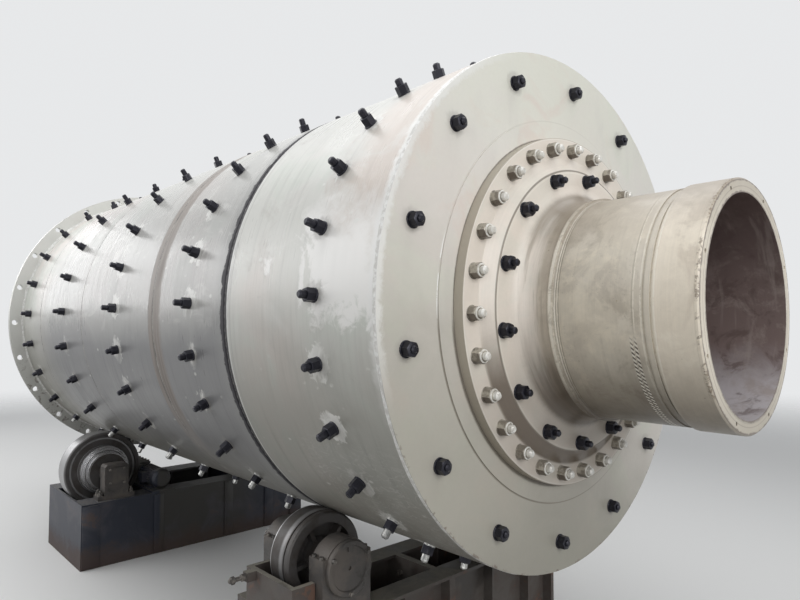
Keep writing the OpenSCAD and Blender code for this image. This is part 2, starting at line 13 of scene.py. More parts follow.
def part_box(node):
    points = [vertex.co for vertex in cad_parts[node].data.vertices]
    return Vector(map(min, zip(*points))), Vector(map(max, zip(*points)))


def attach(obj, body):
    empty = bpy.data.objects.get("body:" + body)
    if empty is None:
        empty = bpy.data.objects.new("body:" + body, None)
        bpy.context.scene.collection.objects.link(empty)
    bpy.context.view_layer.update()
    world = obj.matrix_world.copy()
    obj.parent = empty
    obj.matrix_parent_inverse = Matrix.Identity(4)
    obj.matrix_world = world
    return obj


bl_info = {
    "name": "Grinding mill drum",
    "version": (1, 0, 0),
    "blender": (4, 5, 0),
    "location": "View3D > Sidebar > Mill drum",
    "description": "Paint, fasteners and weld seams for a mill drum on its turning rolls",
    "category": "Object",
}

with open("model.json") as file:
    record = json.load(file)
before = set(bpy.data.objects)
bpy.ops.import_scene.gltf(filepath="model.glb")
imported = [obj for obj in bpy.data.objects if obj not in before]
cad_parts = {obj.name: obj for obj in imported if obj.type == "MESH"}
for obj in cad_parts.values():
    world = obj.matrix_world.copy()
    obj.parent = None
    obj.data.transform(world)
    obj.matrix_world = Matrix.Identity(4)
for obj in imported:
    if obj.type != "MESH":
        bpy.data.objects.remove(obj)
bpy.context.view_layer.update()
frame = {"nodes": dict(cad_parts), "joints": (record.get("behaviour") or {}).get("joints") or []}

MM = 0.001
X, Y, Z = 0, 1, 2
FRONT_AND_REAR = ("front", "rear")
SIDES = ("left", "right")
ENDS = (("feed", 1), ("discharge", -1))


def low(node, axis):
    """Lowest coordinate of a frame node along an axis."""
    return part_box(node)[0][axis]


def high(node, axis):
    """Highest coordinate of a frame node along an axis."""
    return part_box(node)[1][axis]


def middle(node):
    """Middle of a frame node's box."""
    lowest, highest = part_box(node)
    return (lowest + highest) / 2


# The drum's own measures, in metres. It lies along X, and its near end is the feed end.

AXIS_Z = middle("shell_course_3")[Z]
SHELL_R = high("shell_course_3", Z) - AXIS_Z
HEAD_X = high("shell_course_1", X)
SEAM_1, SEAM_2, SEAM_3, SEAM_4 = (low(f"shell_course_{course}", X) for course in (1, 2, 3, 4))
SEAT_X = high("feed_head", X)
TRUNNION_END_X = high("feed_trunnion", X)
FLANGE_R = high("feed_trunnion", Z) - AXIS_Z
SEAT_STEP = 0.004
SEAT_RING_R = 0.7985
FLANGE_X = SEAT_X + 0.040
BOSS_X = FLANGE_X + 0.034
BOSS_R = 0.580
NECK_X = SEAT_X + 0.154
SHOULDER_X = SEAT_X + 0.213
NECK_END_X = SHOULDER_X - 0.021
RELIEF_X = TRUNNION_END_X - 0.178
CHATTER_X = RELIEF_X - 0.039
COLLAR_X = TRUNNION_END_X - 0.143
COLLAR_R = 0.441
BORE_R = 0.390
DRIVE_EDGES_R = (0.145, 0.165, 0.180, 0.238, 0.276)

# Fastener places: along the drum for the liner bolts; for the rings on a head their radius, their
# number and their first angle, which runs from -Y towards +Z.

LINER_RINGS = (1.965, 0.965, -0.032, -1.067, -2.002)
LINER_COUNT = 28
LINER_PHASE = math.radians(2.1)
OUTER_RING = (0.957, 14, math.radians(17.1))
FLANGE_RING = (0.670, 28, math.radians(10.8))
INNER_RING = (0.546, 14, math.radians(16.9))

# The stage: the soft lights, each with its place, target and size, and the camera, which stands
# where the photo's camera stood.

LIGHTS = {
    "top": ((0.3, -0.2, 6.6), (0.1, 0, 1.8), (9.0, 6.0)),
    "side": ((-3.5, -6.5, 4.6), (0, 0, 1.6), (6.0, 3.5)),
    "end": ((7.5, -0.8, 3.6), (2.3, 0, 1.8), (3.5, 3.0)),
    "near": ((5.4, -5.0, 2.5), (2.7, -0.2, 1.9), (2.5, 2.5)),
    "window": ((-8.5, -3.0, 3.8), (0, -0.5, 1.9), (6.5, 3.4)),
}
CAMERA_PLACE = (3.754, -2.334, 1.726)
CAMERA_LOOK = Vector((-0.7302541, 0.68172642, 0.04447512))
CAMERA_RIGHT = Vector((0.68240166, 0.73097741, 0.0))


# Sizes and colours that a user would change.


def size_of(name, description, default):
    """A length, in metres."""
    return FloatProperty(name=name, description=description, default=default, unit="LENGTH")


def power_of(name, description, default):
    """A light's power, in watts."""
    return FloatProperty(name=name, description=description, default=default, unit="POWER")


def colour_of(name, description, default):
    """A colour."""
    return FloatVectorProperty(
        name=name, description=description, default=default, subtype="COLOR"
    )


class DrumSizes(bpy.types.PropertyGroup):
    """Fasteners and seams of the drum."""

    liner_across: size_of("Liner nut width", "Width across the flats of a liner bolt's nut", 0.046)
    liner_nut: size_of("Liner nut height", "Height of a liner bolt's nut", 0.031)
    liner_stud: size_of("Liner stud length", "Length of a liner stud beyond its nut", 0.034)
    liner_stud_d: size_of("Liner stud diameter", "Diameter of a liner stud", 0.031)
    liner_per_ring: IntProperty(
        name="Liner bolts in a ring",
        description="Number of liner bolts round the shell in one ring",
        default=LINER_COUNT,
    )
    head_across: size_of("Head nut width", "Width across the flats of a head's black nut", 0.048)
    flange_across: size_of("Flange nut width", "Width across the flats of a flange nut", 0.050)
    flange_stud_d: size_of("Flange stud diameter", "Diameter of a flange stud", 0.031)
    weld_width: size_of("Corner weld width", "Width of the weld between shell and head", 0.018)


class PaintColours(bpy.types.PropertyGroup):
    """Main colours of the paints and metals."""

    shell: colour_of("Shell primer", "Grey-white primer on the shell", (0.66, 0.66, 0.62))
    head: colour_of("Head primer", "Warm white primer on the heads", (0.74, 0.70, 0.65))
    trunnion: colour_of("Trunnion primer", "Thin beige primer on a trunnion", (0.60, 0.56, 0.485))
    bolt: colour_of("Black bolts", "Blackened steel of the liner bolts", (0.018, 0.018, 0.026))
    stand: colour_of("Idler stand", "Old paint on the idler stand", (0.100, 0.089, 0.080))
    drive: colour_of("Drive stand", "Machine paint on the drive stand", (0.024, 0.028, 0.043))
    iron: colour_of("Bearing iron", "Oily cast iron of the bearings", (0.082, 0.076, 0.072))
    steel: colour_of("Roll steel", "Steel of the rolls and axles", (0.082, 0.077, 0.075))


class StageSettings(bpy.types.PropertyGroup):
    """Light and camera."""

    top_power: power_of("Top light", "Power of the softbox above the drum", 285.0)
    side_power: power_of("Side light", "Power of the softbox at the near side", 165.0)
    end_power: power_of("End light", "Power of the softbox facing the feed end", 150.0)
    near_power: power_of("Near light", "Power of the softbox beside the near trunnion", 52.0)
    window_power: power_of("Window light", "Power of the wide softbox beyond the far end", 113.0)
    lens: FloatProperty(
        name="Lens",
        description="Focal length of the camera, in millimetres on a 36 mm sensor",
        default=28.005,
    )
    floor: colour_of("Floor", "Colour of the plain floor", (0.80, 0.80, 0.79))


# Shader maths.


class Value:
    """A socket in shader maths, so that a formula reads as a plain expression."""

    def __init__(self, nodes, socket):
        self.nodes = nodes
        self.socket = socket

    def maths(self, operation, *operands):
        return self.nodes.node(
            "ShaderNodeMath", {"operation": operation}, dict(enumerate(operands))
        )

    def __add__(self, other):
        return self.maths("ADD", self, other)

    __radd__ = __add__

    def __sub__(self, other):
        return self.maths("SUBTRACT", self, other)

    def __rsub__(self, other):
        return self.maths("SUBTRACT", other, self)

    def __mul__(self, other):
        return self.maths("MULTIPLY", self, other)

    __rmul__ = __mul__

    def __truediv__(self, other):
        return self.maths("DIVIDE", self, other)

    def __pow__(self, other):
        return self.maths("POWER", self, other)

    def __gt__(self, other):
        return self.maths("GREATER_THAN", self, other)

    def __lt__(self, other):
        return self.maths("LESS_THAN", self, other)

    def __abs__(self):
        return self.maths("ABSOLUTE", self)

    def least(self, other):
        return self.maths("MINIMUM", self, other)

    def most(self, other):
        return self.maths("MAXIMUM", self, other)

    def fraction(self):
        return self.maths("FRACT", self)


class Nodes:
    """A node tree in the making."""

    def __init__(self, tree):
        self.tree = tree

    def node(self, kind, settings=None, sockets=None, output=0):
        """Adds a node: its settings first, then its sockets' values or links; gives one output."""
        made = self.tree.nodes.new(kind)
        for key, value in (settings or {}).items():
            setattr(made, key, value)
        for key, value in (sockets or {}).items():
            self.feed(made.inputs[key], value)
        return Value(self, made.outputs[output])

    def feed(self, socket, value):
        """Links a socket to a Value, or gives it a plain value."""
        if isinstance(value, Value):
            self.tree.links.new(value.socket, socket)
        elif socket.type == "RGBA":
            socket.default_value = (*value, 1.0)
        else:
            socket.default_value = value

    def seen_by(self, *rays):
        """1 for these kinds of ray, and 0 for others."""
        seen = 0.0
        for ray in rays:
            seen = self.node("ShaderNodeLightPath", output=f"Is {ray} Ray").most(seen)
        return seen


class Finish(Nodes):
    """A material in the making: its coordinates, and the paint laid so far."""

    def __init__(self, name, paint, metallic=0.0):
        self.material = bpy.data.materials.new(name)
        self.material.use_nodes = True
        super().__init__(self.material.node_tree)
        self.shader = self.tree.nodes["Principled BSDF"]
        self.shader.inputs["Metallic"].default_value = metallic
        self.place = self.node("ShaderNodeTexCoord", output="Object")
        self.x, self.y, self.z = (self.part(self.place, axis) for axis in "XYZ")
        self.paint = tuple(paint)

    def part(self, vector, axis):
        """One part of a vector."""
        return self.node("ShaderNodeSeparateXYZ", {}, {0: vector}, axis)

    def normal(self, axis):
        """How far the surface faces along an axis, from -1 to 1."""
        return self.part(self.node("ShaderNodeNewGeometry", output="Normal"), axis)

    def texture(self, kind, scale, sockets):
        """A texture at a scale, or at one for each axis, which draws it out into streaks."""
        place = self.place
        if isinstance(scale, tuple):
            place, scale = self.tint(place, scale), 1.0
        return self.node(kind, {}, {"Vector": place, "Scale": scale, **sockets})

    def noise(self, scale, detail=3.0, rough=0.5, bend=0.0):
        """Soft noise from 0 to 1, around 0.5."""
        sockets = {"Detail": detail, "Roughness": rough, "Distortion": bend}
        return self.texture("ShaderNodeTexNoise", scale, sockets)

    def cells(self, scale):
        """Distance to the nearest point of a random scatter."""
        return self.texture("ShaderNodeTexVoronoi", scale, {})

    def step(self, value, start, end):
        """0 at start and 1 at end, with a smooth change between."""
        sockets = {"Value": value, "From Min": start, "From Max": end}
        return self.node(
            "ShaderNodeMapRange", {"interpolation_type": "SMOOTHSTEP"}, sockets
        )

    def line(self, place, centre, half):
        """A thin line at a place along an axis or a radius."""
        return self.step(abs(place - centre), half, half * 0.45)

    def lines(self, place, *lines):
        """Thin lines, each with its centre, half its width, and its strength."""
        return sum(self.line(place, centre, half) * strength for centre, half, strength in lines)

    def mix(self, amount, first, second, blend="MIX"):
        """Mixes two colours."""
        settings = {"data_type": "RGBA", "blend_type": blend}
        return self.node("ShaderNodeMix", settings, {0: amount, 6: first, 7: second}, 2)

    def lay(self, amount, colour):
        """Lays a colour over the paint, as far as a mask says."""
        self.paint = self.mix(amount, self.paint, colour)

    def shade(self, amount):
        """Multiplies the paint by a grey value."""
        grey = self.node("ShaderNodeCombineColor", {}, {0: amount, 1: amount, 2: amount})
        self.paint = self.mix(1.0, self.paint, grey, "MULTIPLY")

    def tint(self, vector, by):
        """Multiplies a colour or a place by another one."""
        return self.node("ShaderNodeVectorMath", {"operation": "MULTIPLY"}, {0: vector, 1: by})

    def around(self, centre_y=0.0, centre_z=AXIS_Z):
        """Distance from an axis along X, and the angle from -Y towards +Z, in radians."""
        y = self.y - centre_y
        z = self.z - centre_z
        radius = (y * y + z * z) ** 0.5
        angle = y.maths("ARCTAN2", z, y * -1.0)
        return radius, angle

    def done(self, roughness, height=None, depth=MM, metallic=None):
        """Feeds the shader and gives the material."""
        self.feed(self.shader.inputs["Base Color"], self.paint)
        self.feed(self.shader.inputs["Roughness"], roughness)
        if metallic is not None:
            self.feed(self.shader.inputs["Metallic"], metallic)
        if height is not None:
            sockets = {"Height": height, "Distance": depth, "Strength": 1.0}
            bump = self.node("ShaderNodeBump", {}, sockets)
            self.feed(self.shader.inputs["Normal"], bump)
        return self.material


# Finishes of the drum. A mask is 1 where its paint lies, and 0 beside it.


def bolt_reach(off, angle, radius, count, phase):
    """Distance to a ring's nearest bolt, from a place at an angle and a way off the ring."""
    pitch = math.tau / count
    turn = ((angle - phase) / pitch + 0.5).fraction() - 0.5
    across = abs(turn) * (pitch * radius)
    return (off * off + across * across) ** 0.5


def shell_primer(f, colours):
    """Lays the shell's brushed primer; gives its roughness and height."""
    _, angle = f.around()
    rise = (f.z - AXIS_Z) / SHELL_R
    broad = f.noise(1.1, 3.0, 0.55)
    patch = f.noise(2.3, 4.0, 0.6, bend=0.6)
    smear = f.noise(3.4, 5.0, 0.62, bend=1.2)
    ragged = f.noise(21.0, 4.0, 0.65, bend=0.8)
    streak = f.noise((30.0, 1.8, 1.8), 4.0, 0.62)
    fine = f.noise((150.0, 6.0, 6.0), 3.0, 0.6)
    edge_x = (ragged - 0.5) * 0.02

    f.paint = tuple(colours.shell)
    f.lay(f.step(broad, 0.42, 0.64), (0.70, 0.645, 0.60))
    f.lay(f.step(patch, 0.50, 0.66) * 0.8, (0.60, 0.63, 0.575))
    f.lay(f.step(smear, 0.56, 0.70) * 0.55, (0.50, 0.475, 0.44))
    corner = f.step(f.x + (smear - 0.5) * 0.6, 1.90, 2.20)
    corner = corner * f.step(rise + (patch - 0.5) * 0.3, 0.05, 0.35)
    f.lay(corner * 0.9, (0.62, 0.545, 0.485))
    # Courses 2 to 4 are laid darker, and more so towards the bottom, which is painted shade.
    courses_2_to_4 = f.step(f.x + (patch - 0.5) * 0.3, SEAM_1 + 0.04, SEAM_1 - 0.03)
    courses_2_to_4 = courses_2_to_4 * f.step(f.x, SEAM_4 - 0.3, SEAM_4 + 0.5)
    f.lay(courses_2_to_4 * f.step(rise, 1.3, 0.0) * 0.80, (0.36, 0.355, 0.35))
    rubbed = f.noise((4.0, 2.2, 7.0), 4.0, 0.65, bend=1.0)
    f.lay(f.step(rubbed, 0.54, 0.70) * f.step(rise, -0.5, 0.1) * 0.45, (0.74, 0.735, 0.70))

    # Darker towards the bottom: grime, and painted shade.
    grime_and_shade = f.step(rise + (patch - 0.5) * 0.45 + (streak - 0.5) * 0.3, 0.14, -0.44)
    f.lay(grime_and_shade * 0.76, (0.255, 0.253, 0.222))
    # Browner at the very bottom: dirt, and painted shade.
    brown = f.step(rise + (smear - 0.5) * 0.3, -0.70, -0.97)
    f.lay(brown * 0.50, (0.150, 0.130, 0.112))
    # Painted shade: a dark bluish band below mid-height on courses 2 to 4.
    shade_band = f.step(rise + (patch - 0.5) * 0.3, 0.04, -0.20) * f.step(rise, -0.86, -0.56)
    f.lay(courses_2_to_4 * shade_band * 0.68, (0.155, 0.155, 0.172))
    f.shade(1.0 - f.step(streak, 0.50, 0.75) * 0.14)
    f.shade(1.0 + (fine - 0.5) * 0.10)

    sloped = rise + (f.x - 2.0) * 0.22
    fresh = f.step(f.x + (smear - 0.5) * 1.3 + (ragged - 0.5) * 0.3, 1.80, 1.92)
    fresh = fresh * f.step(sloped + (smear - 0.5) * 0.45 + (ragged - 0.5) * 0.22, -0.03, 0.05)
    fresh = fresh * f.step(sloped + (patch - 0.5) * 0.5 + (ragged - 0.5) * 0.15, 0.38, 0.22)
    f.lay(fresh * 0.9, (0.88, 0.87, 0.845))

    along = abs(f.x - LINER_RINGS[0])
    for ring in LINER_RINGS[1:]:
        along = along.least(abs(f.x - ring))
    reach = bolt_reach(along, angle, SHELL_R, LINER_COUNT, LINER_PHASE)
    splash = f.step(reach + (ragged - 0.5) * 0.15 + (smear - 0.5) * 0.10, 0.076, 0.056)
    splash = splash * f.step(broad + smear, 0.90, 1.08)
    # A darker ring round the foot of each liner bolt.
    bolt_marks = f.step(reach + (ragged - 0.5) * 0.07, 0.060, 0.034)
    f.lay(bolt_marks * 0.5, (0.30, 0.285, 0.26))
    near_end = f.step(f.x, -1.5, 0.6) * 0.5 + 0.5
    f.lay(splash * near_end * 0.85, (0.84, 0.835, 0.80))

    drip = f.step(f.cells((9.0, 22.0, 13.0)), 0.16, 0.07) * f.step(smear, 0.48, 0.60)
    f.lay(drip * 0.6, (0.78, 0.785, 0.75))
    scribble = f.noise((7.0, 26.0, 11.0), 2.0, 0.5, bend=2.2)
    wiped = f.step(abs(scribble - 0.5), 0.028, 0.008) * f.step(f.x, 1.60, 1.80)
    wiped = wiped * f.step(rise, -0.38, -0.60)
    f.lay(wiped * 0.38, (0.60, 0.60, 0.56))

    off = f.x - SEAM_1
    halo = f.step(off + edge_x * 4.0 + (streak - 0.5) * 0.05, -0.125, -0.030) * (off < 0.0)
    f.lay(halo * 0.50, (0.27, 0.27, 0.265))
    burnt = f.step(off + edge_x * 2.6, -0.036, -0.026) * f.step(off + edge_x * 0.3, 0.024, 0.019)
    f.lay(burnt * 0.96, (0.034, 0.032, 0.038))
    # Painted highlight: a pale thin line along the edge of the seam 1 groove.
    bare = f.step(abs(off + edge_x * 0.15 - 0.029), 0.0045, 0.0025)
    f.lay(bare * 0.8, (0.74, 0.74, 0.72))
    f.lay(f.step(abs(off - 0.052), 0.006, 0.002) * 0.35, (0.30, 0.30, 0.29))
    off = f.x - SEAM_2
    band = f.step(off + edge_x * 0.6, -0.062, -0.056) * f.step(off + edge_x * 2.0, 0.112, 0.070)
    band = band * f.step(rise, -0.85, -0.35)
    f.lay(band * 0.85, (0.285, 0.25, 0.225))
    f.lay(band * f.step(streak, 0.46, 0.62) * 0.5, (0.16, 0.14, 0.125))
    f.lay(f.step(abs(off + 0.058), 0.007, 0.003) * 0.6, (0.22, 0.205, 0.19))
    for seam in (SEAM_2, SEAM_3, SEAM_4):
        line = f.step(abs(f.x - seam + edge_x * 0.4), 0.011, 0.004) * f.step(ragged, 0.40, 0.50)
        f.lay(line * 0.85, (0.13, 0.125, 0.12))
    brushed = f.step(f.x + edge_x * 2.6, SEAT_X - 0.052, SEAT_X - 0.024)
    brushed = brushed * f.step(rise + (smear - 0.5) * 0.5, -0.45, 0.05)
    f.lay(brushed * 0.85, (0.84, 0.84, 0.82))

    rough = 0.33 + (streak - 0.5) * 0.30 + (patch - 0.5) * 0.30
    rough = rough + burnt * 0.5 + band * 0.30 + grime_and_shade * 0.10 - courses_2_to_4 * 0.06
    height = streak * 0.30 + fine * 0.35 + splash * 0.5 + drip * 0.5 + smear * 0.8 + fresh * 0.3
    return rough, height


def shell_paint(colours):
    """The shell's primer as a finish of its own."""
    f = Finish("shell_primer", colours.shell)
    return f.done(*shell_primer(f, colours))


def head_paint(colours):
    """Smooth warm primer on a head's face, and the shell's primer on its edge."""
    f = Finish("head_primer", colours.head)
    radius, angle = f.around()
    rise = (f.z - AXIS_Z) / SHELL_R
    broad = f.noise(1.2, 3.0, 0.5, bend=0.5)
    patch = f.noise(3.1, 4.0, 0.55, bend=0.8)
    fine = f.noise(60.0, 4.0, 0.6)
    sweep = f.noise((1.0, 4.0, 1.3), 3.0, 0.55, bend=0.4)
    ragged = f.noise(24.0, 4.0, 0.65, bend=0.8)

    f.lay(f.step(broad, 0.40, 0.62), (0.765, 0.74, 0.69))
    cool = f.step(rise + (patch - 0.5) * 0.8, 0.35, 0.95)
    f.lay(cool * 0.75, (0.755, 0.765, 0.67))
    f.lay(f.step(patch, 0.52, 0.66) * 0.6, (0.73, 0.635, 0.575))
    cream = f.noise(1.7, 4.0, 0.6, bend=1.2)
    f.lay(f.step(cream, 0.52, 0.64) * 0.55, (0.735, 0.75, 0.655))
    f.lay(f.step(sweep, 0.55, 0.72) * 0.4, (0.64, 0.62, 0.575))
    # Darker towards the bottom and the -Y side, and darker still at the very bottom: dust, and
    # painted shade.
    dust = f.step(rise + f.y * 0.48 + (patch - 0.5) * 0.4, 0.02, -0.95)
    f.lay(dust * 0.82, (0.38, 0.365, 0.305))
    f.lay(f.step(rise + (patch - 0.5) * 0.3, -0.60, -1.02) * 0.45, (0.22, 0.21, 0.175))
    far_rim = f.step(f.x, 0.0, -1.0)
    f.lay(far_rim * 0.8, (0.655, 0.66, 0.635))
    torn_r = radius + (ragged - 0.5) * 0.05
    corner = f.step(torn_r, SHELL_R - 0.034, SHELL_R - 0.010) * f.step(f.y, -0.30, -0.65)
    corner = corner * f.step(rise, -0.35, 0.0) * (1.0 - far_rim)
    f.lay(corner * 0.75, (0.87, 0.87, 0.84))
    f.shade(1.0 + (fine - 0.5) * 0.06)

    reach = bolt_reach(radius - OUTER_RING[0], angle, *OUTER_RING) + (ragged - 0.5) * 0.05
    f.lay(f.step(reach, 0.056, 0.032) * 0.4, (0.42, 0.40, 0.36))
    # The seat ring's thin line is darker on the lower half, which is painted shade under its step,
    # and a painted glint lights it on the near side.
    seat = f.step(abs(radius - SEAT_RING_R), 0.0045, 0.0018)
    lower_half = f.step(rise, 0.02, -0.10)
    glint = f.line(radius, SEAT_RING_R + 0.002, 0.0032) * f.step(ragged, 0.38, 0.50)
    near_side = f.step(abs(angle - 0.14), 0.24, 0.10)
    f.lay(seat * (0.14 + lower_half * 0.58), (0.24, 0.21, 0.17))
    f.lay(glint * near_side, (0.93, 0.93, 0.91))
    # Painted shadow: a dark ring round the foot of the trunnion flange, wider below it.
    wavy_r = radius + (ragged - 0.5) * 0.006
    low_flange_shadow = f.step(wavy_r, FLANGE_R + 0.017, FLANGE_R + 0.006) * lower_half
    foot = f.step(wavy_r, FLANGE_R + 0.007, FLANGE_R + 0.002).most(low_flange_shadow)
    f.lay(foot * 0.80, (0.13, 0.11, 0.085))
    chips = f.step(torn_r, SHELL_R - 0.006, SHELL_R + 0.002)
    chips = chips * f.step(rise, -0.2, -0.6) * f.step(ragged, 0.56, 0.62)
    f.lay(chips * 0.7, (0.16, 0.12, 0.10))

    face = f.paint
    side_rough, side_height = shell_primer(f, colours)
    on_side = f.step(abs(f.normal("X")), 0.80, 0.60) * (radius > SHELL_R - 0.03)
    f.paint = f.mix(on_side, face, f.paint)
    rough = 0.40 + (patch - 0.5) * 0.25
    rough = rough + (side_rough - rough) * on_side
    height = fine * 0.12 + patch * 0.4 + corner * ragged * 2.0
    height = height + (side_height - height) * on_side
    return f.done(rough, height, 0.7 * MM)


def trunnion_paint(colours):
    """Primer on the flange; thin primer, tool lines and scars on the turned part; a dark bore; with
    painted highlights, shade and reflection.
    """
    f = Finish("trunnion_primer", colours.trunnion)
    radius, angle = f.around()
    rise = (f.z - AXIS_Z) / FLANGE_R
    out = abs(f.x)
    broad = f.noise(2.2, 3.0, 0.55, bend=0.5)
    mottle = f.noise(9.0, 5.0, 0.65, bend=0.6)
    blotch = f.noise(4.5, 4.0, 0.6, bend=1.0)
    grain = f.noise(75.0, 3.0, 0.6)
    ragged = f.noise(28.0, 4.0, 0.7, bend=0.6)
    turning = f.noise((240.0, 1.5, 1.5), 2.0, 0.6)
    upright = f.noise((26.0, 5.0, 2.2), 3.0, 0.6)
    waver = (ragged - 0.5) * 0.006
    turned_place = {0: out * 42.0, 1: radius * 42.0, 2: angle * 1.6}
    turned_place = f.node("ShaderNodeCombineXYZ", {}, turned_place)
    rings = {"Vector": turned_place, "Detail": 3.0, "Roughness": 0.6}
    rings = f.texture("ShaderNodeTexNoise", 1.0, rings)

    f.lay(f.step(broad, 0.40, 0.64), (0.64, 0.61, 0.54))
    f.lay(f.step(blotch, 0.50, 0.66) * 0.55, (0.45, 0.415, 0.37))
    f.lay(f.step(mottle, 0.46, 0.34) * 0.5, (0.70, 0.665, 0.60))
    f.lay(f.step(mottle, 0.58, 0.66) * 0.4, (0.39, 0.36, 0.315))
    f.lay(f.step(upright, 0.54, 0.70) * 0.35, (0.40, 0.365, 0.32))
    pitted = f.step(f.cells(85.0), 0.16, 0.07) * f.step(blotch, 0.46, 0.58)
    f.lay(pitted * 0.6, (0.26, 0.24, 0.205))

    cloud = f.noise(6.0, 6.0, 0.72, bend=0.3)
    f.lay(f.step(cloud, 0.50, 0.66) * 0.45, (0.80, 0.75, 0.64))
    f.lay(f.step(cloud, 0.48, 0.34) * 0.50, (0.35, 0.315, 0.26))

    painted = f.step(out + waver, NECK_X + 0.012, NECK_X - 0.012)
    smooth = f.mix(f.step(blotch, 0.44, 0.62), (0.755, 0.71, 0.66), (0.72, 0.695, 0.645))
    f.lay(painted, smooth)
    neck = f.step(out + waver * 2.0, NECK_X - 0.022, NECK_X + 0.014)
    before_shoulder = f.step(out, NECK_END_X + 0.003, NECK_END_X)
    neck = neck * before_shoulder
    f.lay(neck * 0.45, (0.50, 0.445, 0.385))
    flange_edge = f.step(radius, FLANGE_R - 0.003, FLANGE_R - 0.001)
    f.lay(flange_edge * 0.92, (0.45, 0.42, 0.36))
    bright_rim = f.line(radius, FLANGE_R - 0.005, 0.003) * (out > FLANGE_X - 0.002)
    f.lay(bright_rim * 0.6, (0.84, 0.83, 0.80))
    on_boss = painted * (out > FLANGE_X + 0.01)
    crease = f.line(radius, BOSS_R, 0.0050) * on_boss
    f.lay(crease * 0.85, (0.20, 0.18, 0.15))
    f.lay(f.line(radius, BOSS_R - 0.0095, 0.004) * on_boss * 0.4, (0.86, 0.85, 0.81))
    # The boss's flank is darker on the lower half: dirt, and painted shade where it faces down.
    boss_flank_dirt_and_shade = f.step(radius, BOSS_R - 0.001, BOSS_R + 0.004)
    boss_flank_dirt_and_shade = boss_flank_dirt_and_shade * f.step(radius, BOSS_R + 0.062, BOSS_R + 0.046)
    boss_flank_dirt_and_shade = boss_flank_dirt_and_shade * painted * f.step(rise + (blotch - 0.5) * 0.2, -0.02, -0.42)
    f.lay(boss_flank_dirt_and_shade * 0.92, (0.145, 0.115, 0.09))
    root = f.step(out + waver, BOSS_X + 0.003, BOSS_X + 0.022) * before_shoulder
    # The fillet is darker on top, which is dirt and painted shade, and darker still underneath,
    # which is painted shadow under the journal.
    f.lay(root * f.step(rise + (rings - 0.5) * 0.30, 0.20, 0.52) * 0.86, (0.24, 0.205, 0.165))
    f.lay(root * f.step(rise + (rings - 0.5) * 0.35, -0.04, -0.52) * 0.90, (0.125, 0.100, 0.078))
    f.lay(root * f.step(rings, 0.54, 0.66) * 0.35, (0.30, 0.26, 0.215))

    # Painted highlights along the edges of the shoulder, the relief and the collar, one of them on
    # the upper side only.
    upper = f.step(angle, math.radians(-16), math.radians(-6))
    edge_highlights = f.lines(
        out + waver,
        (SHOULDER_X - 0.0085, 0.0085, 1.0),
        (SHOULDER_X + 0.0065, 0.0022, 0.8),
        (SHOULDER_X + 0.0148, 0.0022, 0.7),
        (RELIEF_X - 0.0295, 0.0026, upper * 0.7),
        (RELIEF_X - 0.0060, 0.0040, 0.6),
        (COLLAR_X - 0.0110, 0.0035, 0.8),
        (COLLAR_X + 0.0060, 0.0035, 0.7),
    )
    dark_lines = f.lines(
        out + waver,
        (SHOULDER_X - 0.0195, 0.0030, 1.0),
        (SHOULDER_X + 0.0020, 0.0024, 1.0),
        (SHOULDER_X + 0.0108, 0.0020, 1.0),
        (SHOULDER_X + 0.0200, 0.0026, 1.0),
        (RELIEF_X - 0.0345, 0.0020, upper * 0.6),
        (RELIEF_X + 0.0040, 0.0034, 1.0),
        (TRUNNION_END_X - 0.0150, 0.0016, 1.0),
    )
    turned_part = (1.0 - painted) * (radius > BORE_R + 0.01)
    edge_highlights = edge_highlights.least(1.0) * turned_part
    dark_lines = dark_lines.least(1.0) * turned_part
    f.lay(dark_lines * f.step(ragged, 0.30, 0.46) * 0.62, (0.25, 0.225, 0.18))
    # Painted light: the relief groove is laid paler to lift its own shade.
    relief = f.step(abs(out - (RELIEF_X + COLLAR_X) / 2 - 0.002), 0.019, 0.015) * turned_part
    f.lay(relief * 0.60, (0.78, 0.745, 0.67))
    collar = f.step(out, COLLAR_X - 0.001, COLLAR_X + 0.003) * turned_part
    f.lay(collar * 0.68, (0.86, 0.80, 0.70))
    f.lay(collar * f.step(blotch, 0.52, 0.64) * 0.45, (0.52, 0.46, 0.39))
    f.lay(collar * f.step(cloud, 0.52, 0.66) * 0.35, (0.90, 0.87, 0.79))
    specks = f.step(f.cells(34.0), 0.13, 0.07) * f.step(mottle, 0.52, 0.60) * turned_part
    f.lay(specks * 0.6, (0.30, 0.24, 0.17))
    f.lay(edge_highlights * f.step(ragged, 0.66, 0.50) * 0.9, (0.88, 0.86, 0.79))

    dash = abs((angle * 25.5 + out * 55.0).fraction() - 0.5)
    rows = f.step(abs(abs(out - CHATTER_X) - 0.0070), 0.0055, 0.0040)
    sector = f.step(angle, math.radians(-100), math.radians(-86))
    sector = sector * f.step(angle, math.radians(-12), math.radians(-20))
    bold = f.step(angle, math.radians(-20), math.radians(-60)) * 0.45 + 0.55
    chatter = rows * f.step(dash, 0.29, 0.21) * sector * f.step(ragged, 0.30, 0.38)
    hollows = rows * f.step(dash, 0.27, 0.33) * sector
    f.lay(hollows * 0.92, (0.060, 0.050, 0.040))

    # Darker on top of the turned part: dirt, and painted shade.
    top_dirt_and_shade = f.step(rise + (mottle - 0.5) * 0.25, 0.24, 0.58) * (1.0 - painted)
    f.lay(top_dirt_and_shade * (collar * 0.20 + 0.76), (0.335, 0.295, 0.245))
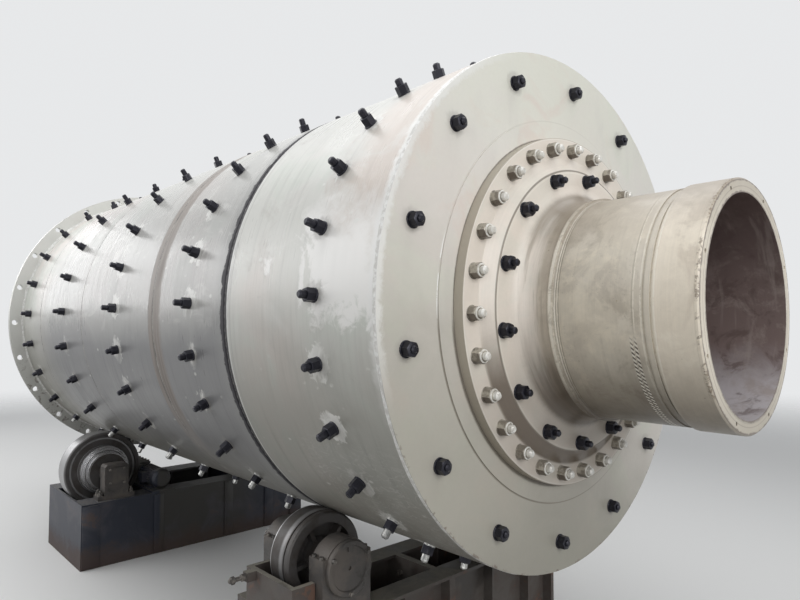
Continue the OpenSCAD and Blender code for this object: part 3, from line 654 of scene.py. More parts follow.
    # Darker underneath: dirt, and painted shade.
    low_dirt_and_shade = f.step(rise + (blotch - 0.5) * 0.25, -0.14, -0.60) * (1.0 - painted * 0.70)
    low_dirt_and_shade = low_dirt_and_shade * (1.0 - collar * 0.25)
    f.lay(low_dirt_and_shade * 0.90, (0.105, 0.085, 0.065))
    f.lay(chatter * bold * 0.95, (0.92, 0.91, 0.86))
    bore = f.step(radius, BORE_R + 0.0040, BORE_R + 0.0015)
    outside = f.paint
    # The bore's dark base tone is partly painted shade.
    f.paint = (0.215, 0.165, 0.160)
    # Painted reflection: the lower part of the bore is laid pale bluish.
    f.lay(f.step(rise + (mottle - 0.5) * 0.25, -0.16, -0.52), (0.56, 0.54, 0.58))
    f.lay(f.step(cloud, 0.48, 0.62) * 0.6, (0.38, 0.325, 0.31))
    # Painted shade: the upper part of the bore is laid darker.
    f.lay(f.step(rise + (mottle - 0.5) * 0.30, -0.02, 0.45) * 0.72, (0.115, 0.080, 0.078))
    f.lay(f.step(mottle, 0.52, 0.64) * 0.6, (0.12, 0.085, 0.080))
    f.lay(f.step(upright, 0.54, 0.68) * 0.3, (0.45, 0.40, 0.385))
    f.paint = f.mix(bore, outside, f.paint)
    end_face = f.step(out, TRUNNION_END_X - 0.0015, TRUNNION_END_X - 0.0005)
    f.lay(end_face * 0.55, (0.66, 0.63, 0.55))
    lip = f.line(radius, BORE_R + 0.021, 0.0022) * end_face
    f.lay(lip * 0.55, (0.30, 0.26, 0.215))
    edge_off = (radius - BORE_R).least(COLLAR_R - 0.005 - radius)
    edge_wear = f.step(edge_off + (ragged - 0.5) * 0.02, 0.008, 0.002)
    f.lay(end_face * edge_wear * 0.8, (0.13, 0.10, 0.085))
    near_end = f.step(out + waver, TRUNNION_END_X - 0.016, TRUNNION_END_X - 0.010)
    near_end = near_end * (1.0 - end_face) * f.step(radius, COLLAR_R - 0.010, COLLAR_R - 0.008)
    chipped = f.step(mottle, 0.50, 0.58) * f.step(grain, 0.47, 0.55)
    f.lay(near_end * chipped * 0.7, (0.17, 0.13, 0.095))
    turning = 0.5 + (turning - 0.5) * (1.0 - bore)
    f.shade(1.0 + (turning - 0.5) * 0.12 + (grain - 0.5) * 0.07)
    f.paint = f.tint(f.paint, (1.03, 1.0, 0.955))
    rough = 0.38 + (mottle - 0.5) * 0.3 - painted * 0.02
    height = turning * 0.35 + mottle * 0.35 + grain * 0.15
    height = height + edge_highlights * 0.5 - dark_lines * 0.6 + (chatter - hollows) * 0.8
    return f.done(rough, height, 0.8 * MM)


def spotted(name, metallic, scale, detail, span, first, second, amount=1.0):
    """A small piece's finish in the making, and the noise by which its two tones lie."""
    f = Finish(name, first, metallic)
    patch = f.noise(scale, detail, 0.6)
    f.lay(f.step(patch, *span) * amount, second)
    return f, patch


def weld_metal(name, body, crest):
    """Painted or scorched weld metal: lumpy, with a lighter touch on its crests."""
    f, lumps = spotted(name, 0.0, 55.0, 4.0, (0.40, 0.62), body, crest)
    return f.done(0.55, lumps, 1.5 * MM)


def black_steel(colours):
    """Blackened bolts with a faint blue sheen and paler rubbed spots."""
    rubbed = (0.055, 0.055, 0.065)
    f, bolt_marks = spotted("black_bolts", 0.55, 38.0, 3.0, (0.52, 0.72), colours.bolt, rubbed, 0.5)
    return f.done(0.36 + (bolt_marks - 0.5) * 0.3, bolt_marks, 0.4 * MM)


def bare_studs():
    """Bare threaded steel."""
    dull, bright = (0.26, 0.26, 0.255), (0.52, 0.52, 0.50)
    f, bolt_marks = spotted("bare_studs", 0.9, 70.0, 3.0, (0.42, 0.62), dull, bright)
    return f.done(0.34, bolt_marks, 0.5 * MM)


def nut_primer():
    """Thin beige primer on the flange nuts, with bare metal showing through, and painted shade on
    their downward faces.
    """
    bare, primed = (0.27, 0.245, 0.205), (0.47, 0.44, 0.375)
    f, patch = spotted("nut_primer", 0.25, 26.0, 4.0, (0.44, 0.56), bare, primed)
    f.lay(f.step(patch, 0.58, 0.66) * 0.6, (0.19, 0.165, 0.135))
    # Painted shade: faces that point down are laid dark.
    downward = f.part(f.node("ShaderNodeTexCoord", output="Normal"), "Z")
    f.lay(f.step(downward, 0.15, -0.45) * 0.80, (0.085, 0.065, 0.050))
    return f.done(0.34, patch, 0.5 * MM)


def tip_highlights():
    """Painted highlights: pale rings and stud ends in front of the flange nuts, standing for the
    light on their rims and domed ends, with duller patches.
    """
    pale, worn = (0.84, 0.83, 0.79), (0.62, 0.60, 0.55)
    f, patch = spotted("pale_stud_ends", 0.15, 40.0, 3.0, (0.40, 0.62), pale, worn)
    return f.done(0.30, patch, 0.4 * MM)


def fitting_steel():
    """Plain dark bolts with dust and a little rust."""
    dark, dusty = (0.09, 0.085, 0.08), (0.22, 0.20, 0.18)
    f, patch = spotted("fitting_steel", 0.5, 30.0, 4.0, (0.42, 0.60), dark, dusty)
    f.lay(f.step(patch, 0.62, 0.70) * 0.6, (0.16, 0.085, 0.05))
    return f.done(0.48, patch, 0.6 * MM)


def stand_paint(colours):
    """Old purple-brown paint with rust, oil and pale worn dust on what faces up."""
    f = Finish("idler_stand_paint", colours.stand)
    patch = f.noise(5.0, 5.0, 0.65, bend=0.6)
    fine = f.noise(42.0, 4.0, 0.6)
    f.lay(f.step(patch, 0.42, 0.60), (0.085, 0.068, 0.060))
    f.lay(f.step(patch + (fine - 0.5) * 0.3, 0.58, 0.66) * 0.75, (0.155, 0.082, 0.055))
    dust = f.step(f.normal("Z"), 0.75, 0.95) * f.step(patch, 0.30, 0.55)
    f.lay(dust * 0.7, (0.235, 0.225, 0.185))
    oil = f.step(f.noise(3.2, 3.0, 0.5), 0.56, 0.64)
    f.lay(oil * 0.65, (0.035, 0.031, 0.028))
    rough = 0.60 - oil * 0.25 + dust * 0.2
    return f.done(rough, patch * 0.6 + fine * 0.4, 1.2 * MM)


def drive_paint(colours):
    """Dark blue-grey machine paint with a browner panel, dust above and rust along the foot."""
    f = Finish("drive_stand_paint", colours.drive)
    patch = f.noise(3.6, 5.0, 0.62, bend=0.5)
    fine = f.noise(48.0, 4.0, 0.6)
    panel = f.step(f.y + (patch - 0.5) * 0.05, -0.385, -0.365) * f.step(f.y, 0.60, 0.20)
    f.lay(panel, (0.052, 0.050, 0.046))
    f.lay(f.step(patch, 0.46, 0.64) * 0.6, (0.075, 0.072, 0.085))
    low_rust = f.step(f.z + (patch - 0.5) * 0.25 + (fine - 0.5) * 0.1, 0.17, 0.05)
    f.lay(low_rust * 0.75, (0.075, 0.050, 0.040))
    f.lay(f.step(patch + (fine - 0.5) * 0.25, 0.62, 0.70) * 0.5, (0.115, 0.072, 0.052))
    dust = f.step(f.normal("Z"), 0.70, 0.95) * f.step(fine, 0.35, 0.60)
    f.lay(dust * 0.7, (0.17, 0.165, 0.155))
    return f.done(0.46 + dust * 0.25 + low_rust * 0.2, patch * 0.5 + fine * 0.4)


def bearing_iron(colours):
    """Sand-cast iron with oil and packed dust."""
    f = Finish("bearing_cast_iron", colours.iron, 0.15)
    sand = f.noise(120.0, 3.0, 0.6)
    patch = f.noise(9.0, 4.0, 0.6, bend=0.5)
    f.lay(f.step(patch, 0.42, 0.62), (0.125, 0.110, 0.098))
    f.lay(f.step(patch, 0.42, 0.32) * 0.7, (0.042, 0.038, 0.035))
    return f.done(0.52 + (patch - 0.5) * 0.4, sand * 0.5 + patch * 0.5, 0.9 * MM)


def roll_steel(colours):
    """Dark roll steel, worn bright where the drum bears on the drive rolls, with painted highlights
    in two bands on the idler treads and on the edges of the drive hubs.
    """
    f = Finish("worn_roll_steel", colours.steel, 0.35)
    patch = f.noise(11.0, 4.0, 0.6, bend=0.4)
    scratch = f.noise((160.0, 6.0, 6.0), 3.0, 0.6)
    f.lay(f.step(patch, 0.40, 0.62), (0.060, 0.052, 0.047))
    bright = 0.0
    for joint in frame["joints"]:
        roll = joint["child"]
        if roll == "drum":
            continue
        x, y, z = joint["pos_m"]
        tread_r = high(roll.replace("_roll_", "_wheel_"), Z) - z
        radius, _ = f.around(y, z)
        off = f.x - x
        near = f.step(abs(off), 0.20, 0.19)
        edges = f.step(radius, tread_r - 0.004, tread_r - 0.001)
        edges = edges * f.step(radius, tread_r + 0.02, tread_r + 0.01)
        if roll.startswith("idler"):
            # Painted highlights: two bright bands on the idler's tread.
            bands = f.line(off, -0.064, 0.008) * 0.65
            bands = bands + f.step(abs(off - 0.018), 0.020, 0.006) * 0.35
        else:
            # The drive tread is worn bright where the drum bears; its sides and the edges of the
            # hub's steps get painted highlights.
            for edge_r in DRIVE_EDGES_R:
                edges = edges.most(f.line(radius, edge_r - 0.004, 0.0085))
            bands = f.step(abs(off), 0.082, 0.050) * 0.62
            bands = bands.most(f.step(abs(off), 0.074, 0.080))
        bright = near * edges * bands + bright
    # Wear and painted highlights, broken up by scratches.
    worn = bright.least(1.0) * f.step(scratch, 0.18, 0.44)
    f.lay(worn, (0.58, 0.58, 0.59))
    rough = 0.50 - worn * 0.24 + (scratch - 0.5) * 0.15
    return f.done(rough, patch * 0.4 + scratch * 0.3, 0.6 * MM, 0.35 + worn * 0.55)


# Shapes: each is a bmesh about its own Z axis, standing on Z = 0.


def turned(profile, steps):
    """A shape turned about Z from (radius, height) points."""
    bm = bmesh.new()
    points = [bm.verts.new((radius, 0.0, height)) for radius, height in profile]
    lines = [bm.edges.new(pair) for pair in zip(points, points[1:])]
    bmesh.ops.spin(
        bm,
        geom=points + lines,
        cent=(0, 0, 0),
        axis=(0, 0, 1),
        angle=math.tau,
        steps=steps,
        use_merge=True,
    )
    bmesh.ops.remove_doubles(bm, verts=bm.verts, dist=MM / 100)
    bmesh.ops.dissolve_degenerate(bm, edges=bm.edges, dist=MM / 100)
    bmesh.ops.recalc_face_normals(bm, faces=bm.faces)
    return bm


def cut_nut(across, height, steps):
    """A hexagon nut: a turned blank with chamfered ends, cut flat on six sides."""
    corner = across / math.sqrt(3)
    chamfer = corner - across / 2 * 0.98
    drop = chamfer * 0.6
    blank = turned(
        [
            (0.0, 0.0),
            (corner, 0.0),
            (corner, height - drop),
            (corner - chamfer, height),
            (0.0, height),
        ],
        steps,
    )
    for side in range(6):
        outward = Vector((math.cos(side * math.pi / 3), math.sin(side * math.pi / 3), 0.0))
        cut = bmesh.ops.bisect_plane(
            blank,
            geom=blank.verts[:] + blank.edges[:] + blank.faces[:],
            plane_co=outward * (across / 2),
            plane_no=outward,
            clear_outer=True,
        )
        rim = [item for item in cut["geom_cut"] if isinstance(item, bmesh.types.BMEdge)]
        bmesh.ops.edgeloop_fill(blank, edges=rim)
    bmesh.ops.recalc_face_normals(blank, faces=blank.faces)
    return blank


def plain_nut(across, height):
    """A hexagon nut of few faces, for shapes that repeat by the hundred."""
    bm = bmesh.new()
    corner = across / math.sqrt(3)
    bevel, rise = corner * 0.10, corner * 0.08
    bmesh.ops.create_cone(
        bm,
        cap_ends=True,
        segments=6,
        radius1=corner,
        radius2=corner,
        depth=height,
        matrix=Matrix.Translation((0, 0, height / 2)),
    )
    top = [face for face in bm.faces if face.normal.z > 0.5]
    bmesh.ops.inset_region(bm, faces=top, thickness=bevel)
    bmesh.ops.translate(bm, verts=top[0].verts, vec=(0, 0, rise))
    return bm


def disc(radius, height, bevel, steps):
    """A round shape with a bevelled upper edge, open below."""
    top = (radius - bevel, height)
    return turned([(radius, 0.0), (radius, height - bevel), top, (0.0, height)], steps)


def stud_end(radius, length, steps):
    """A stud's end with its tip bevelled."""
    return disc(radius, length, radius * 0.35, steps)


def washer(radius, height, steps):
    """A round washer."""
    return disc(radius, height, height * 0.3, steps)


def hex_bolt(across, height, pad):
    """A hexagon bolt head on its washer."""
    return stack(
        (washer(across * 0.62, pad, 16), 0.0, 0, 0),
        (cut_nut(across, height, 18), pad, 0, 0),
    )


def stack(*layers):
    """Joins (shape, height it stands at, turn in degrees, material index) layers into one shape."""
    whole = bmesh.new()
    for shape, height, turn, index in layers:
        add_to(
            whole,
            shape,
            Matrix.Translation((0, 0, height)) @ Matrix.Rotation(math.radians(turn), 4, "Z"),
            index,
        )
        shape.free()
    return whole


def add_to(whole, shape, matrix, index=None):
    """Adds a copy of a shape at a place to a growing mesh."""
    mesh = bpy.data.meshes.new("copy")
    shape.to_mesh(mesh)
    first_vert, first_face = len(whole.verts), len(whole.faces)
    whole.from_mesh(mesh)
    whole.verts.ensure_lookup_table()
    whole.faces.ensure_lookup_table()
    bmesh.ops.transform(whole, matrix=matrix, verts=whole.verts[first_vert:])
    if index is not None:
        for face in whole.faces[first_face:]:
            face.material_index = index
    bpy.data.meshes.remove(mesh)


def facing(point, direction, turn=0.0):
    """The matrix that stands a shape at a point, its Z along a direction."""
    aim = Vector(direction).normalized().to_track_quat("Z", "Y").to_matrix().to_4x4()
    return Matrix.Translation(point) @ aim @ Matrix.Rotation(turn, 4, "Z")


def make_piece(name, bm, body, materials, sharp=35.0):
    """Turns a finished bmesh into a piece that rides on a body."""
    bmesh.ops.recalc_face_normals(bm, faces=bm.faces)
    mesh = bpy.data.meshes.new(name)
    bm.to_mesh(mesh)
    bm.free()
    for material in materials:
        mesh.materials.append(material)
    mesh.shade_smooth()
    mesh.set_sharp_from_angle(angle=math.radians(sharp))
    piece = bpy.data.objects.new(name, mesh)
    bpy.context.scene.collection.objects.link(piece)
    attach(piece, body)


def dress(prefixes, material):
    """Gives frame nodes their finish, by the start of their names."""
    for name, node in frame["nodes"].items():
        if name.startswith(prefixes):
            for slot in node.material_slots:
                slot.material = material
            if not node.material_slots:
                node.data.materials.append(material)


def material(name, make, *args):
    """A finish by name, made once."""
    return bpy.data.materials.get(name) or make(*args)


def on_circle(x, radius, angle):
    """A point round the drum, by its angle from -Y towards +Z."""
    return Vector((x, -radius * math.cos(angle), AXIS_Z + radius * math.sin(angle)))


# Operators: one for each group of pieces.


class MILL_OT_stage(bpy.types.Operator):
    """Make the camera, the soft lights and the plain floor"""

    bl_idname = "mill.stage"
    bl_label = "Stage"

    def execute(self, context):
        settings = context.scene.mill_stage
        self.make_camera(context, settings)
        for name, (place, target, size) in LIGHTS.items():
            watts = getattr(settings, f"{name}_power")
            self.make_light(context, f"{name}_softbox", place, target, size, watts)
        self.make_world(context)
        self.make_floor(settings)
        context.scene.view_settings.view_transform = "Standard"
        return {"FINISHED"}

    def make_camera(self, context, settings):
        data = bpy.data.cameras.new("camera")
        data.sensor_width = 36.0
        data.lens = settings.lens
        data.clip_end = 500.0
        camera = bpy.data.objects.new("camera", data)
        context.scene.collection.objects.link(camera)
        up = CAMERA_RIGHT.cross(CAMERA_LOOK)
        turn = Matrix((CAMERA_RIGHT, up, -CAMERA_LOOK)).transposed().to_4x4()
        camera.matrix_world = Matrix.Translation(CAMERA_PLACE) @ turn
        context.scene.camera = camera

    def make_light(self, context, name, place, target, size, power):
        data = bpy.data.lights.new(name, "AREA")
        data.shape = "RECTANGLE"
        data.size, data.size_y = size
        data.energy = power
        light = bpy.data.objects.new(name, data)
        light.visible_camera = False
        context.scene.collection.objects.link(light)
        aim = (Vector(target) - Vector(place)).to_track_quat("-Z", "Y")
        light.matrix_world = Matrix.Translation(place) @ aim.to_matrix().to_4x4()

    def make_world(self, context):
        """Soft daylight, and a pale room for what sees it straight or mirrored."""
        world = bpy.data.worlds.new("pale_room")
        world.use_nodes = True
        room = Nodes(world.node_tree)
        daylight = room.tree.nodes["Background"]
        room.feed(daylight.inputs["Color"], (0.93, 0.96, 1.0))
        room.feed(daylight.inputs["Strength"], 0.28)
        daylight = Value(room, daylight.outputs[0])
        backdrop = room.node("ShaderNodeBackground", {}, {"Color": (0.80, 0.81, 0.82)})
        seen = room.seen_by("Camera", "Transmission", "Glossy")
        blend = room.node("ShaderNodeMixShader", {}, {0: seen, 1: daylight, 2: backdrop})
        room.feed(room.tree.nodes["World Output"].inputs["Surface"], blend)
        context.scene.world = world

    def make_floor(self, settings):
        """A floor that looks pale, throws back less light, and fades out far away."""
        half_width, fade_from, fade_to = 60.0, 6.0, 17.0
        bm = bmesh.new()
        bmesh.ops.create_grid(bm, x_segments=1, y_segments=1, size=half_width)
        mesh = bpy.data.meshes.new("floor")
        bm.to_mesh(mesh)
        bm.free()
        floor = bpy.data.objects.new("floor", mesh)
        bpy.context.scene.collection.objects.link(floor)
        f = Finish("plain_floor", (0.20, 0.19, 0.175))
        f.lay(f.seen_by("Camera", "Glossy"), tuple(settings.floor))
        f.done(0.85)
        fade = f.step((f.x * f.x + f.y * f.y) ** 0.5, fade_from, fade_to)
        solid = Value(f, f.shader.outputs[0])
        clear = f.node("ShaderNodeBsdfTransparent")
        blend = f.node("ShaderNodeMixShader", {}, {0: fade, 1: solid, 2: clear})
        f.feed(f.tree.nodes["Material Output"].inputs["Surface"], blend)
        mesh.materials.append(f.material)


class MILL_OT_paint(bpy.types.Operator):
    """Give every frame node its finish"""

    bl_idname = "mill.paint"
    bl_label = "Paint and metal finishes"

    def execute(self, context):
        colours = context.scene.mill_colours
        dress(("shell_course",), shell_paint(colours))
        dress(("feed_head", "discharge_head"), head_paint(colours))
        dress(("feed_trunnion", "discharge_trunnion"), trunnion_paint(colours))
        dress(("idler_frame", "idler_end_plate"), stand_paint(colours))
        dress(("idler_block", "idler_cover", "drive_block"), bearing_iron(colours))
        dress(("idler_wheel", "idler_axle", "drive_wheel", "drive_axle"), roll_steel(colours))
        drive = ("girder", "end", "bed", "motor", "reducer", "gear")
        dress(tuple(f"drive_{piece}" for piece in drive), drive_paint(colours))
        return {"FINISHED"}


class MILL_OT_liner_bolts(bpy.types.Operator):
    """Put the rings of liner bolts round the shell"""

    bl_idname = "mill.liner_bolts"
    bl_label = "Liner bolts"

    def execute(self, context):
        sizes = context.scene.mill_sizes
        colours = context.scene.mill_colours
        chance = random.Random(28)
        pad = 0.008
        top = pad + sizes.liner_nut
        bare_below = -0.62
        bolts = [
            stack(
                (washer(sizes.liner_across * 0.60, pad, 12), 0.0, 0, 2),
                (plain_nut(sizes.liner_across, sizes.liner_nut), pad, 0, 0),
                (stud_end(sizes.liner_stud_d / 2, sizes.liner_stud * length, 10), top, 0, 1),
            )
            for length in (0.85, 1.0, 1.15)
        ]
        black = material("black_bolts", black_steel, colours)
        bare = material("bare_studs", bare_studs)
        for number, ring in enumerate(LINER_RINGS, 1):
            dark, bright = bmesh.new(), bmesh.new()
            for index in range(sizes.liner_per_ring):
                angle = LINER_PHASE + index * math.tau / sizes.liner_per_ring
                outward = (0.0, -math.cos(angle), math.sin(angle))
                foot = on_circle(ring, SHELL_R - 2 * MM, angle)
                spot = facing(foot, outward, chance.random() * math.tau)
                whole = bright if math.sin(angle) < bare_below else dark
                add_to(whole, chance.choice(bolts), spot)
            name = f"liner_bolts_{number}"
            make_piece(name, dark, "drum", [black, black, black])
            make_piece(f"{name}_low", bright, "drum", [black, bare, bare])
        for bolt in bolts:
            bolt.free()
        return {"FINISHED"}


class MILL_OT_head_bolts(bpy.types.Operator):
    """Put the black bolts and the flange nuts on both heads"""

    bl_idname = "mill.head_bolts"
    bl_label = "Head bolts and flange nuts"

    def execute(self, context):
        sizes = context.scene.mill_sizes
        black = material("black_bolts", black_steel, context.scene.mill_colours)
        painted = material("nut_primer", nut_primer)
        pale = material("pale_stud_ends", tip_highlights)
        pad = 0.006
        nut_h = 0.030
        outer = self.bolt(sizes.head_across, nut_h, 0.010, pad)
        inner = self.bolt(sizes.head_across, nut_h, 0.024, pad)
        flange_pad = 0.003
        flange_nut_h = 0.033
        ring_h = 0.004
        face = flange_pad + flange_nut_h
        # The pale ring left round a slightly raised darker disc, and the pale stud end, are painted
        # highlights on each flange nut.
        flange = stack(
            (washer(sizes.flange_across * 0.60, flange_pad, 24), 0.0, 0, 0),
            (cut_nut(sizes.flange_across, flange_nut_h, 24), flange_pad, 0, 0),
            (washer(sizes.flange_across * 0.49, ring_h, 24), face, 0, 1),
            (washer(sizes.flange_across * 0.40, ring_h + 0.0012, 24), face, 0, 0),
            (stud_end(sizes.flange_stud_d / 2, 0.020, 16), face + ring_h, 0, 1),
        )
        face_x = SEAT_X - SEAT_STEP
        chance = random.Random(14)
        rings = (
            ("outer_bolts", outer, OUTER_RING, face_x, "bearing_iron", [black]),
            ("inner_bolts", inner, INNER_RING, BOSS_X, "bearing_iron", [black]),
            ("flange_nuts", flange, FLANGE_RING, FLANGE_X, "trunnion_paint", [painted, pale]),
        )
        for end, sign in ENDS:
            for name, shape, circle, x, slot, finishes in rings:
                whole = self.ring(shape, circle, x, sign, chance)
                make_piece(f"{end}_{name}", whole, "drum", finishes)
        for shape in (outer, inner, flange):
            shape.free()
        return {"FINISHED"}

    def bolt(self, across, nut_h, stud, pad):
        return stack(
            (washer(across * 0.62, pad, 20), 0.0, 0, 0),
            (cut_nut(across, nut_h, 24), pad, 0, 0),
            (stud_end(across * 0.28, stud, 14), pad + nut_h, 0, 0),
        )

    def ring(self, shape, circle, x, sign, chance):
        radius, count, phase = circle
        whole = bmesh.new()
        for index in range(count):
            foot = on_circle(sign * (x - MM), radius, phase + index * math.tau / count)
            add_to(whole, shape, facing(foot, (sign, 0, 0), chance.random() * math.tau))
        return whole


class MILL_OT_welds(bpy.types.Operator):
    """Run the weld beads round the drum"""

    bl_idname = "mill.welds"
    bl_label = "Weld seams"

    def execute(self, context):
        half = context.scene.mill_sizes.weld_width / 2
        scorched = weld_metal("scorched_weld", (0.045, 0.045, 0.047), (0.16, 0.155, 0.15))
        plain = weld_metal("primed_weld", (0.40, 0.37, 0.33), (0.56, 0.54, 0.50))
        white = weld_metal("brushed_weld", (0.66, 0.65, 0.62), (0.86, 0.86, 0.84))
        self.bead("seam_1_weld", SEAM_1, SHELL_R - 0.0102, 0.0095, 0.0070, 0.013, scorched)
        for number, seam in enumerate((SEAM_2, SEAM_3, SEAM_4), 2):
            self.bead(f"seam_{number}_weld", seam, SHELL_R - 0.0032, 0.0045, 0.0030, 0.009, plain)
        corner_x = SEAT_X - SEAT_STEP - half - MM
        self.bead("feed_corner_weld", corner_x, SHELL_R - 0.0015, half, 0.0034, 0.010, white)
        self.fillet("discharge_corner_weld", -HEAD_X, SHELL_R, 0.014, white)
        return {"FINISHED"}

    def bead(self, name, x, radius, half, height, pitch, finish):
        """A rippled bead round the drum."""
        arc = 6
        profile = [
            (radius + height * math.sin(math.pi * i / arc), half * math.cos(math.pi * i / arc))
            for i in range(arc + 1)
        ]
        self.ripple(name, x, profile, radius, pitch, finish)

    def fillet(self, name, x, radius, leg, finish):
        """A hollow fillet in the corner between the shell and the gear rim."""
        profile = [(radius - MM, leg), (radius + leg * 0.35, leg * 0.35), (radius + leg, -MM)]
        self.ripple(name, x, profile, radius, 0.010, finish)

    def ripple(self, name, x, profile, radius, pitch, finish):
        steps = 720
        bm = turned(profile, steps)
        ripples = int(math.tau * radius / pitch)
        chance = random.Random(name)
        waves = [(chance.randint(3, 60), chance.random() * math.tau) for _ in range(5)]
        for vert in bm.verts:
            angle = math.atan2(vert.co.y, vert.co.x)
            lift = (math.hypot(vert.co.x, vert.co.y) - radius) / radius
            wander = sum(math.sin(count * angle + start) for count, start in waves) / 5
            swell = 1.0 + 0.22 * math.sin(ripples * angle + 3.0 * wander) + 0.25 * wander
            grow = 1.0 + lift * (swell - 1.0)
            vert.co.x *= grow
            vert.co.y *= grow
            vert.co.z *= 1.0 + 0.18 * wander
        bmesh.ops.transform(bm, matrix=facing((x, 0, AXIS_Z), (1, 0, 0)), verts=bm.verts)
        make_piece(name, bm, "drum", [finish], sharp=60.0)


class MILL_OT_idler_fittings(bpy.types.Operator):
    """Put the screws and bolts on the idler stand"""

    bl_idname = "mill.idler_fittings"
    bl_label = "Idler stand fittings"

    def execute(self, context):
        iron = material("fitting_steel", fitting_steel)
        small = hex_bolt(0.018, 0.009, 0.003)
        large = hex_bolt(0.030, 0.019, 0.004)
        long_bolt = stack(
            (cut_nut(0.030, 0.019, 18), 0.0, 0, 0),
            (stud_end(0.010, 0.060, 14), 0.019, 0, 0),
            (cut_nut(0.030, 0.016, 18), 0.052, 20, 0),
        )
        whole = bmesh.new()
        for side in SIDES:
            wheel = middle(f"idler_wheel_{side}")
            for place in FRONT_AND_REAR:
                self.cover_screws(whole, small, side, place)
                self.shoulder_bolts(whole, small, f"idler_block_{side}_{place}", wheel)
            self.end_plate_bolts(whole, large, long_bolt, side)
        self.joint_bolts(whole, large)
        make_piece("idler_stand_bolts", whole, "stand", [iron])
        for shape in (small, large, long_bolt):
            shape.free()
        return {"FINISHED"}

    def cover_screws(self, whole, screw, side, place):
        cover = f"idler_cover_{side}_{place}"
        centre = middle(cover)
        outward = 1 if place == "front" else -1
        face = high(cover, X) if outward > 0 else low(cover, X)
        inset = 0.011
        radius = high(cover, Z) - centre.z - inset
        for index in range(3):
            angle = math.radians(30 + 120 * index)
            y = centre.y + radius * math.cos(angle)
            z = centre.z + radius * math.sin(angle)
            add_to(whole, screw, facing((face - outward * MM, y, z), (outward, 0, 0), angle))

    def shoulder_bolts(self, whole, bolt, block, axle):
        lowest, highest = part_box(block)
        inset, above_axle = 0.0105, 0.055
        ledge_z = axle.z + above_axle
        for y in (lowest.y + inset, highest.y - inset):
            for share in (0.25, 0.75):
                x = lowest.x + (highest.x - lowest.x) * share
                add_to(whole, bolt, facing((x, y, ledge_z - MM), (0, 0, 1), share))

    def end_plate_bolts(self, whole, bolt, long_bolt, side):
        plate = f"idler_end_plate_{side}"
        lowest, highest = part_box(plate)
        sign = -1 if side == "left" else 1
        rear_x, front_x = (end(f"idler_frame_{side}", X) for end in (low, high))
        beam_z = high(f"idler_frame_{side}", Z)
        outer_y = sign * 0.8847
        outer_row, inner_row, margin = 0.035, 0.095, 0.06
        rows = (rear_x + outer_row, rear_x + inner_row, front_x - inner_row, front_x - outer_row)
        for x in rows:
            for z in (margin, beam_z / 2, beam_z - margin):
                add_to(whole, bolt, facing((x, outer_y - sign * MM, z), (0, sign, 0), x))
        off_wheel, below_top = 0.120, 0.020
        lug_x = middle(f"idler_wheel_{side}").x - off_wheel
        lug_y = (lowest.y if sign < 0 else highest.y) + sign * MM
        add_to(whole, long_bolt, facing((lug_x, lug_y, highest.z - below_top), (0, sign, 0)))

    def joint_bolts(self, whole, bolt):
        lowest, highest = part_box("idler_frame_left")
        plate = 0.020
        for sign in (-1, 1):
            for x in ((lowest.x + highest.x) / 2 + step for step in (-0.09, 0.09)):
                for z in (0.08, 0.25, 0.42):
                    add_to(whole, bolt, facing((x, sign * (plate - MM), z), (0, sign, 0), z))


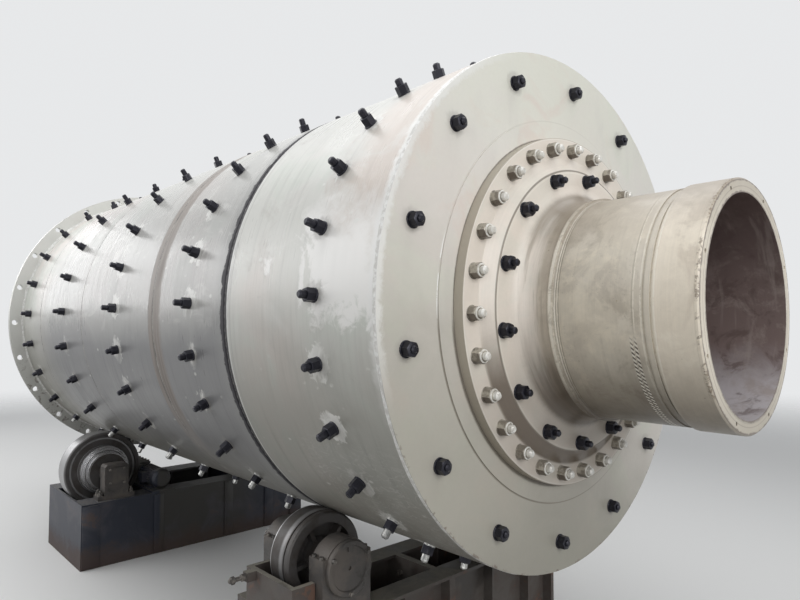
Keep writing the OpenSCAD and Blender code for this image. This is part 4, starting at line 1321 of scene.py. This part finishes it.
class MILL_OT_drive_fittings(bpy.types.Operator):
    """Put the screws and bolts on the drive stand"""

    bl_idname = "mill.drive_fittings"
    bl_label = "Drive stand fittings"

    def execute(self, context):
        iron = material("fitting_steel", fitting_steel)
        small = hex_bolt(0.018, 0.009, 0.003)
        large = stack(
            (washer(0.022, 0.004, 16), 0.0, 0, 0),
            (cut_nut(0.034, 0.020, 18), 0.004, 0, 0),
            (stud_end(0.010, 0.016, 14), 0.024, 0, 0),
        )
        whole = bmesh.new()
        for side in SIDES:
            for place in FRONT_AND_REAR:
                self.block_bolts(whole, small, large, side, place)
        self.unit_bolts(whole, small)
        make_piece("drive_stand_bolts", whole, "stand", [iron])
        for shape in (small, large):
            shape.free()
        self.girder_bars()
        return {"FINISHED"}

    def block_bolts(self, whole, small, large, side, place):
        block = f"drive_block_{side}_{place}"
        lowest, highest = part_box(block)
        axle = middle(f"drive_wheel_{side}")
        foot_h, inset, half_square = 0.030, 0.022, 0.050
        foot_top = lowest.z + foot_h
        outward = 1 if place == "front" else -1
        for y in (lowest.y + inset, highest.y - inset):
            for step in (0.025, 0.075):
                x = (lowest.x if outward > 0 else highest.x) + outward * step
                add_to(whole, large, facing((x, y, foot_top - MM), (0, 0, 1), step))
        if block != "drive_block_left_rear":
            face = highest.x if outward > 0 else lowest.x
            for y in (-half_square, half_square):
                for z in (-half_square, half_square):
                    spot = (face - outward * MM, axle.y + y, axle.z + z)
                    add_to(whole, small, facing(spot, (outward, 0, 0), z))

    def unit_bolts(self, whole, small):
        lowest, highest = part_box("drive_reducer")
        first, pitch, inset, foot_h = 0.03, 0.0625, 0.009, 0.013
        for x in (lowest.x + first + pitch * step for step in range(5)):
            for y in (lowest.y + inset, highest.y - inset):
                add_to(whole, small, facing((x, y, highest.z - MM), (0, 0, 1), x))
                add_to(whole, small, facing((x, y, lowest.z + foot_h), (0, 0, 1), x))

    def girder_bars(self):
        """Upright flat bars welded on the outer faces of the girders."""
        finish = bpy.data.materials["drive_stand_paint"]
        bars = bmesh.new()
        thick, margin, bevel = 0.010, 0.012, 0.003
        top = high("drive_girder_front", Z) - margin
        bar_y = (-0.864, -0.376, 0.208, 0.587, 0.864)
        widths = (0.120, 0.075, 0.075, 0.080, 0.120)
        for face, outward in (
            (high("drive_girder_front", X), 1),
            (low("drive_girder_rear", X), -1),
        ):
            for y, width in zip(bar_y, widths):
                size = Matrix.Diagonal((thick + MM, width, top - margin, 1.0))
                spot = (face + outward * (thick - MM) / 2, y, (top + margin) / 2)
                bar = bmesh.ops.create_cube(bars, size=1.0, matrix=Matrix.Translation(spot) @ size)
                bmesh.ops.bevel(
                    bars,
                    geom=list({edge for vert in bar["verts"] for edge in vert.link_edges}),
                    affect="EDGES",
                    offset=bevel,
                    segments=2,
                    profile=0.5,
                    material=-1,
                )
        make_piece("drive_girder_bars", bars, "stand", [finish])


# The sidebar panel, and the run as a script.


class MILL_PT_panel(bpy.types.Panel):
    """Sizes, colours and steps of the mill drum"""

    bl_idname = "MILL_PT_panel"
    bl_label = "Mill drum"
    bl_space_type = "VIEW_3D"
    bl_region_type = "UI"
    bl_category = "Mill drum"

    def draw(self, context):
        layout = self.layout
        scene = context.scene
        for group in (scene.mill_sizes, scene.mill_colours, scene.mill_stage):
            box = layout.box()
            for key in group.bl_rna.properties.keys():
                if key not in ("rna_type", "name"):
                    box.prop(group, key)
        for operator in OPERATORS:
            layout.operator(operator.bl_idname)


GROUPS = (DrumSizes, PaintColours, StageSettings)
OPERATORS = (
    MILL_OT_stage,
    MILL_OT_paint,
    MILL_OT_liner_bolts,
    MILL_OT_head_bolts,
    MILL_OT_welds,
    MILL_OT_idler_fittings,
    MILL_OT_drive_fittings,
)


def register():
    for group in (*GROUPS, *OPERATORS, MILL_PT_panel):
        bpy.utils.register_class(group)
    bpy.types.Scene.mill_sizes = PointerProperty(type=DrumSizes)
    bpy.types.Scene.mill_colours = PointerProperty(type=PaintColours)
    bpy.types.Scene.mill_stage = PointerProperty(type=StageSettings)


def unregister():
    del bpy.types.Scene.mill_sizes
    del bpy.types.Scene.mill_colours
    del bpy.types.Scene.mill_stage
    for group in reversed((*GROUPS, *OPERATORS, MILL_PT_panel)):
        bpy.utils.unregister_class(group)


def main():
    register()
    bpy.ops.mill.stage()
    bpy.ops.mill.paint()
    bpy.ops.mill.liner_bolts()
    bpy.ops.mill.head_bolts()
    bpy.ops.mill.welds()
    bpy.ops.mill.idler_fittings()
    bpy.ops.mill.drive_fittings()


if __name__ == "__main__":
    main()
